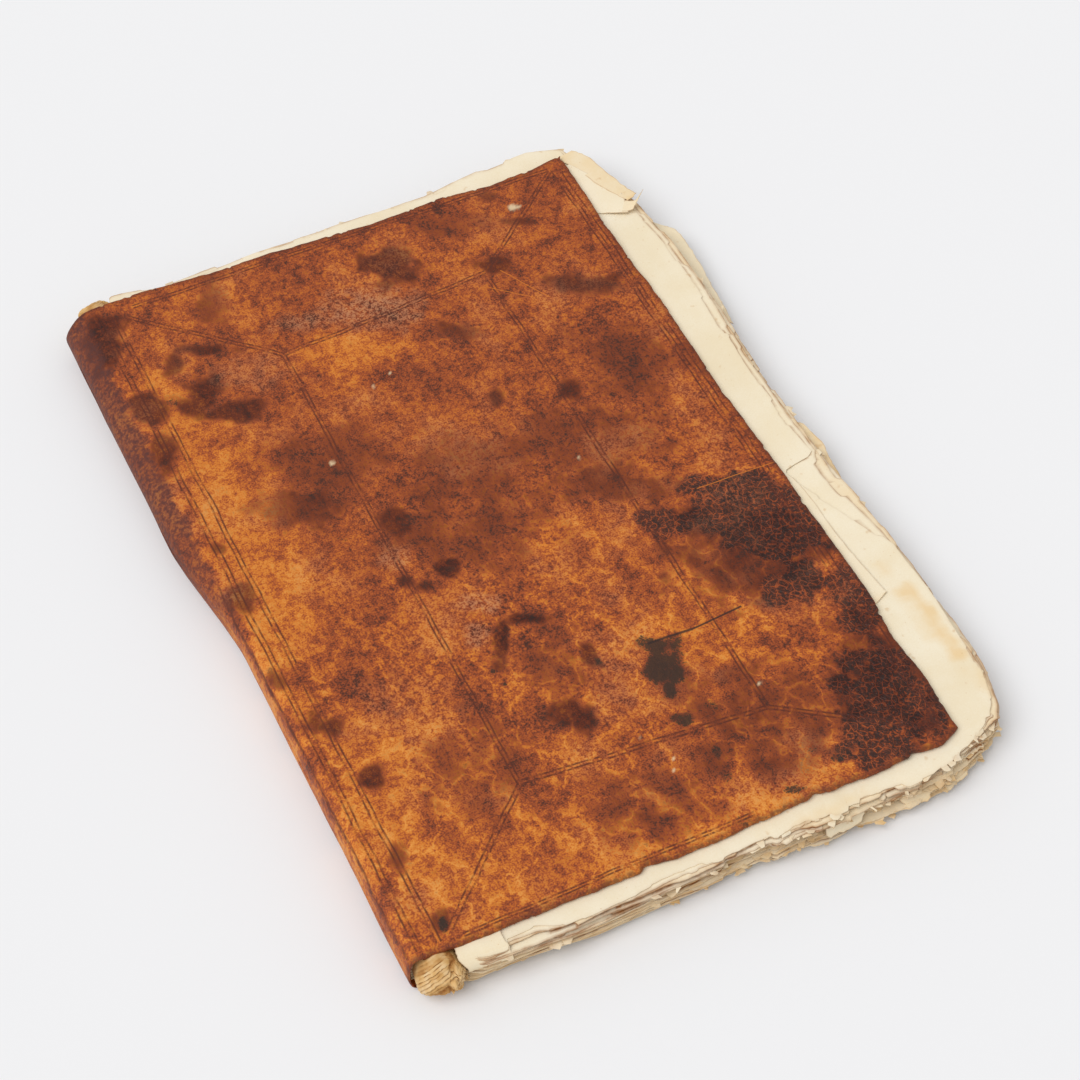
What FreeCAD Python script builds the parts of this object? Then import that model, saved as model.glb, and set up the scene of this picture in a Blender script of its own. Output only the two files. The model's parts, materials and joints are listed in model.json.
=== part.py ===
import FreeCAD, Part
import math
import os
import Sketcher

# An antique folio book: a thick block of worn leaves in a thin leather-covered case.
# Millimetres. The book lies on its back cover. +X runs from the spine to the fore-edge,
# +Y from the tail to the head and +Z up. The origin is the middle of the back cover's
# underside, on the surface that the book rests on.

DRIVING = [
    ("cover_height", 421.0, "cover, tail to head"),
    ("cover_width", 276.0, "cover, hinge line to fore-edge"),
    ("leather", 1.0, "thickness of the leather"),
    ("board", 1.2, "thickness of a pasteboard"),
    ("lining", 0.6, "thickness of a pastedown and of the pared turn-ins"),
    ("turn_in", 14.0, "width of the leather turned in over a board"),
    ("edge_wrap", 1.0, "leather round the edge of a board"),
    ("fit_gap", 0.1, "paste line between a board or pastedown and the leather"),
    ("edge_wear", 2.6, "deepest wear of the leather's edges, which the boards stay clear of"),
    ("hinge_strip", 6.0, "bare leather between the hinge line and a board"),
    ("hinge_gap", 0.15, "slit between a cover and the spine at the hinge line"),
    ("page_gap", 0.3, "air between the block and a closed cover"),
    ("block", 18.4, "thickness of the block of leaves"),
    ("gatherings", 8.0, "bundles of leaves whose edges can be told apart"),
    ("tail_reach", 10.5, "leaves past the cover at the tail"),
    ("head_reach", 8.0, "leaves past the cover at the head"),
    ("fore_reach", 26.0, "leaves past the cover at the fore-edge"),
    ("leaf_wear", 8.0, "how far the outline of the leaves wanders along an edge"),
    ("tear_depth", 2.6, "how far one gathering's torn edge differs from the next"),
    ("tear_step", 13.0, "distance between the corners of a torn edge"),
    ("round_tail", 1.5, "how far the spine stands out at the tail"),
    ("round_head", 11.0, "how far the spine stands out at the head"),
    ("flat_until", 190.0, "tail to where the spine starts to swell"),
    ("round_from", 270.0, "tail to where the spine is fully round"),
    ("guard_radius", 10.6, "radius of the rolled guards that swell out past the covers"),
    ("guard_slope", 4.5, "slope round the ends of the rolled guards"),
    ("guard_clear", 0.6, "air between the guards and the ends of the covers"),
    ("pinch_radius", 6.5, "radius of the pinch beside the guards at the tail, at its open end"),
    ("pinch_tip", 0.8, "radius of that pinch where it dies out"),
    ("pinch_rise", 2.2, "middle of the pinch above or below the face of the block"),
    ("pinch_length", 31.5, "how far the pinch runs in under the cover"),
    ("tape_count", 5.0, "sewing tapes across the spine"),
    ("tape_width", 12.0, "width of a sewing tape"),
    ("tape", 0.6, "thickness of a sewing tape"),
    ("tape_margin", 45.0, "tail or head of the cover to the nearest tape's middle"),
    ("spine_lining", 0.3, "thickness of the linen pasted over the tapes"),
    ("paste", 0.1, "paste line between the layers of the spine"),
]

# Edge shapes. Each point is a share of the edge's length and a share of edge_wear or leaf_wear outwards.
LEATHER_HEAD = ((0.0, 1.5), (0.12, 1.8), (0.22, 0.8), (0.36, 0.6), (0.46, 0.0), (0.62, -0.6),
                (0.74, 0.1), (0.84, -0.85), (0.94, -0.15), (1.0, 0.9))
LEATHER_TAIL = ((0.0, -0.15), (0.1, 0.1), (0.28, 0.4), (0.38, 1.0), (0.43, -0.3), (0.5, 1.2),
                (0.6, 0.4), (0.72, 0.2), (0.76, -0.6), (0.85, 0.8), (0.9, -0.5), (0.955, 0.6))
LEATHER_FORE = ((0.015, -0.9), (0.08, -0.25), (0.14, -1.0), (0.2, 0.15), (0.42, 0.25), (0.55, -0.3),
                (0.7, 0.3), (0.86, -0.25), (1.0, 0.45))
LEAF_FORE = ((0.0, -3.0), (0.012, -1.4), (0.035, -0.6), (0.08, 0.1), (0.18, 0.45), (0.29, 0.25),
             (0.39, -0.25), (0.56, -0.3), (0.63, 0.1), (0.7, 0.45), (0.8, 0.6), (0.875, -0.3),
             (0.94, -1.5), (1.0, -2.75))
LEAF_HEAD = ((0.0, 0.4), (0.07, 0.5), (0.16, -0.1), (0.28, 0.1), (0.42, 0.05), (0.56, 0.2),
             (0.7, 0.25), (0.82, 0.75), (0.93, 1.0), (1.0, 0.25))
LEAF_TAIL = ((0.0, -0.3), (0.1, 0.0), (0.26, 0.2), (0.42, 0.1), (0.6, 0.2), (0.74, 0.3),
             (0.86, 0.4), (0.94, 0.2), (1.0, -0.4))


def make_sheet(document):
    sheet = document.addObject("Spreadsheet::Sheet", "Dimensions")
    for row, (alias, value, note) in enumerate(DRIVING, 1):
        sheet.set("A%d" % row, note)
        sheet.set("B%d" % row, str(value))
        sheet.setAlias("B%d" % row, alias)
    document.recompute()
    return sheet


class Sizes:
    """The driving dimensions as read from the sheet, and the few that follow from them."""

    def __init__(self, sheet):
        for alias, _, _ in DRIVING:
            setattr(self, alias, float(sheet.get(alias)))
        self.hinge_x = -self.cover_width / 2
        self.fore_x = self.cover_width / 2
        self.tail_y = -self.cover_height / 2
        self.head_y = self.cover_height / 2
        self.cover = self.leather + self.board + self.lining
        self.top_z = 2 * (self.cover + self.page_gap) + self.block
        self.middle_z = self.top_z / 2
        self.block_low = self.cover + self.page_gap
        self.block_high = self.block_low + self.block
        self.spine_stack = self.leather + self.spine_lining + self.tape + 3 * self.paste


def along(shape, share):
    """The value of an edge shape at a share of the edge, between its own points."""
    for (s0, v0), (s1, v1) in zip(shape, shape[1:]):
        if share <= s1:
            return v0 + (v1 - v0) * (share - s0) / (s1 - s0)
    return shape[-1][1]


def ragged(seed, place):
    """A steady stand-in for chance, between -1 and 1, the same on every run."""
    value = math.sin(seed * 12.9898 + place * 78.233) * 43758.5453
    return 2.0 * (value - math.floor(value)) - 1.0


def spread(length, step):
    count = max(2, round(length / step))
    return [i / count for i in range(count + 1)]


def plate(points, low, thickness):
    wire = Part.makePolygon([FreeCAD.Vector(x, y, low) for x, y in points + points[:1]])
    return Part.Face(wire).extrude(FreeCAD.Vector(0, 0, thickness))


def add_solid(document, name, shape):
    feature = document.addObject("Part::Feature", name)
    feature.Label = name
    feature.Shape = shape
    return feature


# Spine

def spine_bulge(size, y):
    """How far the spine stands out at y: flat at the tail, swelling to round at the head."""
    share = (y - size.tail_y - size.flat_until) / (size.round_from - size.flat_until)
    share = min(max(share, 0.0), 1.0)
    return size.round_tail + (size.round_head - size.round_tail) * share


def spine_arc(size, y, inset):
    """Three points of the spine's section at y, inset from its outside, from the front hinge to the back."""
    bulge = spine_bulge(size, y)
    half = size.middle_z
    radius = (half * half + bulge * bulge) / (2 * bulge)
    centre_x = size.hinge_x - bulge + radius
    turn = math.asin(half / radius)
    reach = radius - inset
    return [FreeCAD.Vector(centre_x - reach * math.cos(a), y, size.middle_z + reach * math.sin(a))
            for a in (turn, 0.0, -turn)]


def spine_stations(size):
    return (size.tail_y, size.tail_y + size.flat_until, size.tail_y + size.round_from, size.head_y)


def spine_layer(size, outer, inner):
    """One layer of the spine over its whole height, between two depths under its outside."""
    sections = []
    for y in spine_stations(size):
        a, b, c = spine_arc(size, y, outer)
        d, e, f = spine_arc(size, y, inner)
        sections.append(Part.Wire([Part.Arc(a, b, c).toShape(), Part.LineSegment(c, f).toShape(),
                                   Part.Arc(f, e, d).toShape(), Part.LineSegment(d, a).toShape()]))
    return Part.makeLoft(sections, True, True)


def spine_patch(size, outer, inner, low_y, high_y):
    """A stretch of such a layer, clear of both covers."""
    clear = size.cover + size.page_gap
    window = Part.makeBox(4 * size.round_head, high_y - low_y, size.top_z - 2 * clear,
                          FreeCAD.Vector(size.hinge_x - 2 * size.round_head, low_y, clear))
    return spine_layer(size, outer, inner).common(window)


def spine_leather(size):
    """The leather over the spine. Right of the hinge lines it stops short of the leather of the covers."""
    layer = spine_layer(size, 0.0, size.leather)
    depth = size.leather + size.hinge_gap
    for low in (0.0, size.top_z - depth):
        layer = layer.cut(Part.makeBox(2 * size.hinge_strip, size.cover_height, depth,
                                       FreeCAD.Vector(size.hinge_x, size.tail_y, low)))
    return layer


def spine_linen(size):
    inset = size.leather + size.paste
    return spine_patch(size, inset, inset + size.spine_lining,
                       size.tail_y + size.turn_in, size.head_y - size.turn_in)


def sewing_tape(size, number):
    span = size.cover_height - 2 * size.tape_margin
    middle = size.tail_y + size.tape_margin + span * number / (size.tape_count - 1)
    inset = size.leather + size.spine_lining + 2 * size.paste
    return spine_patch(size, inset, inset + size.tape,
                       middle - size.tape_width / 2, middle + size.tape_width / 2)


# Covers

def leather_outline(size):
    """A cover seen from above: square at the hinge, worn and wavy on the other three sides."""
    left = size.hinge_x + size.hinge_gap
    width = size.fore_x - left
    wear = size.edge_wear
    tail = [(left + width * s, size.tail_y - wear * v) for s, v in LEATHER_TAIL]
    fore = [(size.fore_x + wear * v, size.tail_y + size.cover_height * s) for s, v in LEATHER_FORE]
    head = [(left + width * s, size.head_y + wear * v) for s, v in reversed(LEATHER_HEAD)]
    return tail + fore + head[1:]


def board_box(size):
    """The board's own rectangle: x from, x to, y from and y to. It clears the deepest wear of the edges."""
    rim = size.edge_wrap + size.fit_gap + size.edge_wear
    return (size.hinge_x + size.hinge_strip, size.fore_x - rim,
            size.tail_y + rim, size.head_y - rim)


def cover_leather(size):
    """The leather of one cover, face down at z = 0: a sheet with its edges turned in over the board."""
    x0, x1, y0, y1 = board_box(size)
    gap = size.fit_gap
    body = plate(leather_outline(size), 0.0, size.cover)
    room = Part.makeBox(x1 - x0 + 2 * gap, y1 - y0 + 2 * gap, size.board,
                        FreeCAD.Vector(x0 - gap, y0 - gap, size.leather))
    window = Part.makeBox(x1 - size.turn_in - x0 + gap, y1 - y0 - 2 * size.turn_in, size.cover,
                          FreeCAD.Vector(x0 - gap, y0 + size.turn_in, size.leather))
    hinge = Part.makeBox(x0 - size.hinge_x, 2 * size.cover_height, size.cover,
                         FreeCAD.Vector(size.hinge_x, -size.cover_height, size.leather))
    return body.cut(room).cut(window).cut(hinge).removeSplitter()


def turned_over(size, shape):
    """The same cover on the other side of the book."""
    return shape.mirror(FreeCAD.Vector(0, 0, size.middle_z), FreeCAD.Vector(0, 0, 1))


def padded_rectangle(document, name, low, high, thickness, lift):
    """A body that pads one rectangle with worn corners. Every argument is an expression on the sheet."""
    body = document.addObject("PartDesign::Body", name)
    body.Label = name
    plane = next(f for f in body.Origin.OriginFeatures if f.Role == "XY_Plane")
    sketch = body.newObject("Sketcher::SketchObject", name + "_outline")
    sketch.AttachmentSupport = (plane, [""])
    sketch.MapMode = "FlatFace"
    start = float(document.Dimensions.get("cover_width")) / 2
    signs = ((-1, -1), (1, -1), (1, 1), (-1, 1))
    corners = [FreeCAD.Vector(start * x, start * y, 0) for x, y in signs]
    for a, b in zip(corners, corners[1:] + corners[:1]):
        sketch.addGeometry(Part.LineSegment(a, b), False)
    for i in range(4):
        sketch.addConstraint(Sketcher.Constraint("Coincident", i, 2, (i + 1) % 4, 1))
    for i in (0, 2):
        sketch.addConstraint(Sketcher.Constraint("Horizontal", i))
        sketch.addConstraint(Sketcher.Constraint("Vertical", i + 1))
    # Line 0 starts at the low corner and line 1 ends at the high one.
    for kind, line, end, place, expression in (
            ("DistanceX", 0, 1, -start, low[0]), ("DistanceY", 0, 1, -start, low[1]),
            ("DistanceX", 1, 2, start, high[0]), ("DistanceY", 1, 2, start, high[1])):
        index = sketch.addConstraint(Sketcher.Constraint(kind, -1, 1, line, end, place))
        sketch.setExpression("Constraints[%d]" % index, expression)
    pad = body.newObject("PartDesign::Pad", name + "_pad")
    pad.Profile = sketch
    pad.setExpression("Length", thickness)
    document.recompute()
    worn = body.newObject("PartDesign::Fillet", name + "_corners")
    upright = ["Edge%d" % (i + 1) for i, e in enumerate(pad.Shape.Edges)
               if e.BoundBox.ZLength > e.BoundBox.XLength + e.BoundBox.YLength]
    worn.Base = (pad, upright)
    worn.setExpression("Radius", thickness)
    body.Tip = worn
    body.setExpression("Placement.Base.z", lift)


def boards_and_pastedowns(document):
    """Both boards and both pastedowns, as padded sketches bound to the sheet."""
    values = {alias: "Dimensions." + alias for alias, _, _ in DRIVING}
    rim = "({edge_wrap} + {fit_gap} + {edge_wear})".format(**values)
    turned = "({turn_in} + {fit_gap})".format(**values)
    left = "-{cover_width} / 2 + {hinge_strip}".format(**values)
    right = "{cover_width} / 2 - ".format(**values) + rim
    tail = "-{cover_height} / 2 + ".format(**values) + rim
    head = "{cover_height} / 2 - ".format(**values) + rim
    board = ((left, tail), (right, head), values["board"])
    paper = ((left, tail + " + " + turned), (right + " - " + turned, head + " - " + turned),
             values["lining"])
    top = "2 * ({leather} + {board} + {lining} + {page_gap}) + {block}".format(**values)
    padded_rectangle(document, "back_board", *board, "{leather}".format(**values))
    padded_rectangle(document, "back_pastedown", *paper, "{leather} + {board}".format(**values))
    padded_rectangle(document, "front_board", *board, top + " - {leather} - {board}".format(**values))
    padded_rectangle(document, "front_pastedown", *paper,
                     top + " - {leather} - {board} - {lining}".format(**values))


# Block of leaves

def leaf_outline(size, number):
    """One gathering seen from above, with its own torn edges."""
    left = size.hinge_x + size.hinge_strip
    right = size.fore_x + size.fore_reach
    tail = size.tail_y - size.tail_reach
    head = size.head_y + size.head_reach
    wear = size.leaf_wear

    def torn(place):
        return size.tear_depth * ragged(number + 1, place)

    tail_end = right + wear * LEAF_FORE[0][1]
    head_end = right + wear * LEAF_FORE[-1][1]
    points = [(left + (tail_end - left) * s, tail - wear * along(LEAF_TAIL, s) + torn(s))
              for s in spread(tail_end - left, size.tear_step)[:-1]]
    points += [(right + wear * along(LEAF_FORE, s) + torn(1 + s), tail + (head - tail) * s)
               for s in spread(head - tail, size.tear_step)]
    points += [(left + (head_end - left) * s, head + wear * along(LEAF_HEAD, s) + torn(2 + s))
               for s in reversed(spread(head_end - left, size.tear_step)[:-1])]
    return points


def gathering_stack(size):
    """The gatherings one on another, each a little different at its edges."""
    count = int(size.gatherings)
    each = size.block / count
    return [plate(leaf_outline(size, n), size.block_low + n * each, each) for n in range(count)]


def rounded_back(size):
    """The folded backs of the gatherings, inside the spine's linen and leather and between the covers."""
    right = size.hinge_x + 2 * size.hinge_strip
    sections = []
    for y in spine_stations(size):
        top, middle, bottom = spine_arc(size, y, size.spine_stack)
        rest = [FreeCAD.Vector(right, y, size.block_low), FreeCAD.Vector(right, y, size.block_high)]
        sections.append(Part.Wire([
            Part.Arc(top, middle, bottom).toShape(),
            Part.LineSegment(bottom, rest[0]).toShape(),
            Part.LineSegment(rest[0], rest[1]).toShape(),
            Part.LineSegment(rest[1], top).toShape()]))
    between = Part.makeBox(size.cover_width, size.cover_height, size.block,
                           FreeCAD.Vector(size.hinge_x - size.round_head, size.tail_y,
                                          size.block_low))
    return Part.makeLoft(sections, True, True).common(between)


def rolled_guards(size, end_y, reach, way):
    """The roll of folded guards that swells out past the leather at one end of the spine."""
    radius = size.guard_radius
    axis = FreeCAD.Vector(0, way, 0)
    foot = FreeCAD.Vector(size.hinge_x + size.leather + radius, end_y, size.middle_z)
    neck = Part.makeCylinder(size.block / 2, 2 * size.guard_clear, foot - axis * size.guard_clear, axis)
    start = foot + axis * size.guard_clear
    roll = Part.makeCylinder(radius, reach - size.guard_clear, start, axis)
    end = max(roll.Edges, key=lambda edge: way * edge.BoundBox.Center.y)
    return neck.fuse(roll.makeChamfer(size.guard_slope, [end]))


def pinch(size, lift, way):
    """The groove beside the guards at the tail, which dies out under the cover."""
    x = size.hinge_x + size.leather + 2 * size.guard_radius
    outside = 2 * size.tail_reach
    return Part.makeCone(size.pinch_radius, size.pinch_tip, size.pinch_length + outside,
                         FreeCAD.Vector(x, size.tail_y - outside, lift + way * size.pinch_rise),
                         FreeCAD.Vector(0, 1, 0))


def text_block(size):
    head_end = size.head_y + size.edge_wear * LEATHER_HEAD[0][1]
    leaves = gathering_stack(size)
    solid = leaves[0].fuse(leaves[1:] + [
        rounded_back(size),
        rolled_guards(size, size.tail_y, size.tail_reach, -1),
        rolled_guards(size, head_end, size.head_reach, 1)])
    pinches = [pinch(size, size.block_high, 1), pinch(size, size.block_low, -1)]
    return solid.cut(pinches).removeSplitter()


# Building and writing

def build(document):
    size = Sizes(make_sheet(document))
    add_solid(document, "text_block", text_block(size))
    add_solid(document, "spine_leather", spine_leather(size))
    add_solid(document, "spine_linen", spine_linen(size))
    for number in range(int(size.tape_count)):
        add_solid(document, "sewing_tape_%d" % (number + 1), sewing_tape(size, number))
    add_solid(document, "back_leather", cover_leather(size))
    add_solid(document, "front_leather", turned_over(size, cover_leather(size)))
    boards_and_pastedowns(document)
    document.recompute()


def pieces(document):
    return [o for o in document.Objects
            if o.TypeId in ("Part::Feature", "PartDesign::Body")]


def check(document):
    for thing in document.Objects:
        if {"Invalid", "Error"} & set(thing.State):
            raise RuntimeError("%s failed: %s" % (thing.Label, thing.State))
    for piece in pieces(document):
        shape = piece.Shape
        if shape.isNull() or not shape.isValid() or not shape.Solids:
            raise RuntimeError("%s is not a valid solid" % piece.Label)


def write(document):
    os.makedirs("parts", exist_ok=True)
    for piece in pieces(document):
        piece.Shape.exportStep(os.path.join("parts", piece.Label + ".step"))
        print(piece.Label, len(piece.Shape.Solids), round(piece.Shape.Volume, 1))


book = FreeCAD.newDocument("antique_book")
build(book)
check(book)
write(book)
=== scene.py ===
import bpy
import bmesh
import json
import math
import numpy as np
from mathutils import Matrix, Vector


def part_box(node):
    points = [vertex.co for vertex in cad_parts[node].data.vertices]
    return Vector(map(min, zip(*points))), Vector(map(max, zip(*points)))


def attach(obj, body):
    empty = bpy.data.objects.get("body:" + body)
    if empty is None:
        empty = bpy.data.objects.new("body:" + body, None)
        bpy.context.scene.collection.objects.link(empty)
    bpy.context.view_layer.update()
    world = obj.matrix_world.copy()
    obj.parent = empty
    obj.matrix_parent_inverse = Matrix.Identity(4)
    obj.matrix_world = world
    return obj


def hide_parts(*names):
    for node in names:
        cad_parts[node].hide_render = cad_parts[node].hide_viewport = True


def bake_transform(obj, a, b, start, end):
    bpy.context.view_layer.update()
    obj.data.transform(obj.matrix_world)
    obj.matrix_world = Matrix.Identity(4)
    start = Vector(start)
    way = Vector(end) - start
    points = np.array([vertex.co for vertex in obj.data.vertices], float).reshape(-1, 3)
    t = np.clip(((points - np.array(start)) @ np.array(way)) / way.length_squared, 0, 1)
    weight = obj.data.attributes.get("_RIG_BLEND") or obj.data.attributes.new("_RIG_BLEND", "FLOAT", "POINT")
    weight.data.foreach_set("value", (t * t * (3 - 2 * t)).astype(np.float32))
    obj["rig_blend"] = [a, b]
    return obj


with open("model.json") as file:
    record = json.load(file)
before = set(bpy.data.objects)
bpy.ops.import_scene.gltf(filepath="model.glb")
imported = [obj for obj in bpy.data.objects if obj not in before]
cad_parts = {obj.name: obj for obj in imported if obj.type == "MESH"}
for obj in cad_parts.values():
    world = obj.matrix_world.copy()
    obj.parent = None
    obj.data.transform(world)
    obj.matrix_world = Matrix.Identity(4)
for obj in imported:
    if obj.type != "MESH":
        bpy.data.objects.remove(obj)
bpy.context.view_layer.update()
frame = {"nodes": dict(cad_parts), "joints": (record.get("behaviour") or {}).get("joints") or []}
print("frame loaded,", len(frame["nodes"]), "solids")

mm = 0.001  # every size below is in millimetres
hinges = {joint["name"]: joint["pos_m"] for joint in frame["joints"]}

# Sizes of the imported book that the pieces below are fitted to
book = {
    "hingeX": hinges["front_hinge"][0] / mm,
    "thickness": hinges["front_hinge"][2] / mm,
    "tailY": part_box("spine_leather")[0].y / mm,
    "headY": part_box("spine_leather")[1].y / mm,
    "coverWidth": 276.0,
    "blockLow": 3.1,
    "blockHigh": 21.5,
}
book["foreX"] = book["hingeX"] + book["coverWidth"]
book["middleZ"] = book["thickness"] / 2
book["height"] = book["headY"] - book["tailY"]


# Small helpers for shapes

def ease(low, high, value):
    share = np.clip((np.asarray(value, float) - low) / (high - low), 0.0, 1.0)
    return share * share * (3.0 - 2.0 * share)


noiseTables = {}


def lumps(u, v, seed):
    size = 101
    if seed not in noiseTables:
        noiseTables[seed] = np.random.RandomState(seed).uniform(-1.0, 1.0, (size, size))
    table = noiseTables[seed]
    u, v = np.broadcast_arrays(np.asarray(u, float), np.asarray(v, float))
    i = np.floor(u).astype(int)
    j = np.floor(v).astype(int)
    s = u - i
    t = v - j
    s = s * s * (3 - 2 * s)
    t = t * t * (3 - 2 * t)
    low = table[i % size, j % size] * (1 - s) + table[(i + 1) % size, j % size] * s
    high = table[i % size, (j + 1) % size] * (1 - s) + table[(i + 1) % size, (j + 1) % size] * s
    return low * (1 - t) + high * t


def rough(u, v, seed, octaves=4):
    total = 0.0
    share = 1.0
    for octave in range(octaves):
        total = total + share * lumps(u * 2 ** octave, v * 2 ** octave, seed + octave)
        share *= 0.5
    return total


def alongEdge(shape, share):  # a torn edge's slow wander, from given points
    places = [point[0] for point in shape]
    amounts = [point[1] for point in shape]
    return np.interp(share, places, amounts)


def makeMesh(name, points, faces, material, sharpAngle=50.0):
    mesh = bpy.data.meshes.new(name)
    mesh.from_pydata([tuple(point) for point in np.asarray(points) * mm], [], faces)
    shell = bmesh.new()
    shell.from_mesh(mesh)
    bmesh.ops.recalc_face_normals(shell, faces=shell.faces)
    shell.to_mesh(mesh)
    shell.free()
    mesh.materials.append(material)
    mesh.shade_smooth()
    mesh.set_sharp_from_angle(angle=math.radians(sharpAngle))
    piece = bpy.data.objects.new(name, mesh)
    bpy.context.scene.collection.objects.link(piece)
    return piece


def addStrip(faces, first, second):  # four-sided faces between two rows of points
    for a, b, c, d in zip(first[:-1], first[1:], second[1:], second[:-1]):
        faces.append((int(a), int(b), int(c), int(d)))


def setNumbers(piece, name, values):
    attribute = piece.data.attributes.new(name, "FLOAT", "POINT")
    attribute.data.foreach_set("value", np.asarray(values, np.float32))


def setColours(piece, name, columns):
    attribute = piece.data.attributes.new(name, "FLOAT_COLOR", "POINT")
    table = np.stack([np.asarray(column, np.float32) for column in columns], axis=1)
    attribute.data.foreach_set("color", table.ravel())


# Small helpers for materials

def tint(red, green, blue):  # a colour as the eye reads it, 0 to 255, made linear
    def linear(value):
        value = value / 255.0
        return value / 12.92 if value <= 0.04045 else ((value + 0.055) / 1.055) ** 2.4
    return (linear(red), linear(green), linear(blue), 1.0)


def place(tree, kind, inputs=None, **settings):
    node = tree.nodes.new(kind)
    for key, value in settings.items():
        setattr(node, key, value)
    for key, value in (inputs or {}).items():
        if isinstance(value, bpy.types.NodeSocket):
            tree.links.new(value, node.inputs[key])
        else:
            node.inputs[key].default_value = value
    return node


def sums(tree, operation, first, second=0.0, third=0.0):
    inputs = {0: first, 1: second, 2: third}
    return place(tree, "ShaderNodeMath", inputs, operation=operation).outputs[0]


def layered(tree, total, *layers):  # adds each layer's value times its share
    for value, share in layers:
        total = sums(tree, "MULTIPLY_ADD", value, share, total)
    return total


def vectors(tree, operation, first, second):
    inputs = {0: first, 1: second}
    return place(tree, "ShaderNodeVectorMath", inputs, operation=operation).outputs


def stretch(tree, position, scale):
    return vectors(tree, "MULTIPLY", position, scale)[0]


def cracks(tree, position, scale):  # distance to the borders of a net of cells
    return place(tree, "ShaderNodeTexVoronoi", {"Vector": position, "Scale": scale},
                 feature="DISTANCE_TO_EDGE").outputs["Distance"]


def fade(tree, value, low, high, start=0.0, end=1.0):
    inputs = {"Value": value, "From Min": low, "From Max": high, "To Min": start, "To Max": end}
    return place(tree, "ShaderNodeMapRange", inputs, interpolation_type="SMOOTHSTEP").outputs[0]


def blendTints(tree, share, first, second, kind="MIX"):
    inputs = {0: share, 6: first, 7: second}
    return place(tree, "ShaderNodeMix", inputs, data_type="RGBA", blend_type=kind).outputs[2]


def cloud(tree, position, scale, detail=2.0, roughness=0.5, distortion=0.0):
    inputs = {"Vector": position, "Scale": scale, "Detail": detail,
              "Roughness": roughness, "Distortion": distortion}
    return place(tree, "ShaderNodeTexNoise", inputs).outputs[0]


def ramp(tree, value, stops):
    node = place(tree, "ShaderNodeValToRGB", {0: value})
    band = node.color_ramp
    while len(band.elements) < len(stops):
        band.elements.new(1.0)
    for element, (tone, colour) in zip(band.elements, stops):
        element.position = tone
        element.color = colour
    return node.outputs[0]


def attributeNode(tree, name):
    return place(tree, "ShaderNodeAttribute", attribute_name=name)


def newMaterial(name):
    material = bpy.data.materials.new(name)
    material.use_nodes = True
    tree = material.node_tree
    shader = tree.nodes["Principled BSDF"]
    coordinates = place(tree, "ShaderNodeTexCoord").outputs["Object"]
    position = stretch(tree, coordinates, (1000.0, 1000.0, 1000.0))  # in millimetres
    return material, tree, shader, position


def newGroup(name, inputs, outputs, treeType="ShaderNodeTree"):
    group = bpy.data.node_groups.new(name, treeType)
    for label, kind, value in inputs:
        socket = group.interface.new_socket(label, in_out="INPUT", socket_type=kind)
        if value is not None:
            socket.default_value = value
    for label, kind in outputs:
        group.interface.new_socket(label, in_out="OUTPUT", socket_type=kind)
    source = group.nodes.new("NodeGroupInput")
    sink = group.nodes.new("NodeGroupOutput")
    return group, source.outputs, sink.inputs


def useGroup(tree, group, inputs):
    return place(tree, "ShaderNodeGroup", inputs, node_tree=group).outputs


def setFinish(tree, shader, tone, roughness, specular=0.5):
    tree.links.new(tone, shader.inputs["Base Color"])
    shader.inputs["Roughness"].default_value = roughness
    shader.inputs["Specular IOR Level"].default_value = specular


def setBump(tree, shader, height, strength, distance):
    bump = place(tree, "ShaderNodeBump", {"Height": height, "Strength": strength, "Distance": distance})
    tree.links.new(bump.outputs[0], shader.inputs["Normal"])


# Node groups that several materials use

def filletGroup():
    inputs = [("Position", "NodeSocketVector", None), ("Wobble", "NodeSocketFloat", 0.0),
              ("Start", "NodeSocketVector", None), ("Along", "NodeSocketVector", None),
              ("Length", "NodeSocketFloat", 100.0), ("Half Gap", "NodeSocketFloat", 1.0),
              ("Half Width", "NodeSocketFloat", 0.4)]
    group, given, result = newGroup("blindFillet", inputs, [("Line", "NodeSocketFloat")])
    offset = vectors(group, "SUBTRACT", given["Position"], given["Start"])[0]
    along = vectors(group, "DOT_PRODUCT", offset, given["Along"])["Value"]
    side = vectors(group, "CROSS_PRODUCT", given["Along"], (0.0, 0.0, 1.0))[0]
    across = vectors(group, "DOT_PRODUCT", offset, side)["Value"]
    across = sums(group, "ADD", across, given["Wobble"])
    away = sums(group, "ABSOLUTE", sums(group, "SUBTRACT", sums(group, "ABSOLUTE", across),
                                        given["Half Gap"]))
    line = fade(group, sums(group, "DIVIDE", away, given["Half Width"]), 0.30, 1.20, 1.0, 0.0)
    begun = sums(group, "GREATER_THAN", along, 0.0)
    ended = sums(group, "LESS_THAN", along, given["Length"])
    line = sums(group, "MULTIPLY", line, sums(group, "MULTIPLY", begun, ended))
    group.links.new(line, result["Line"])
    return group


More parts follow.
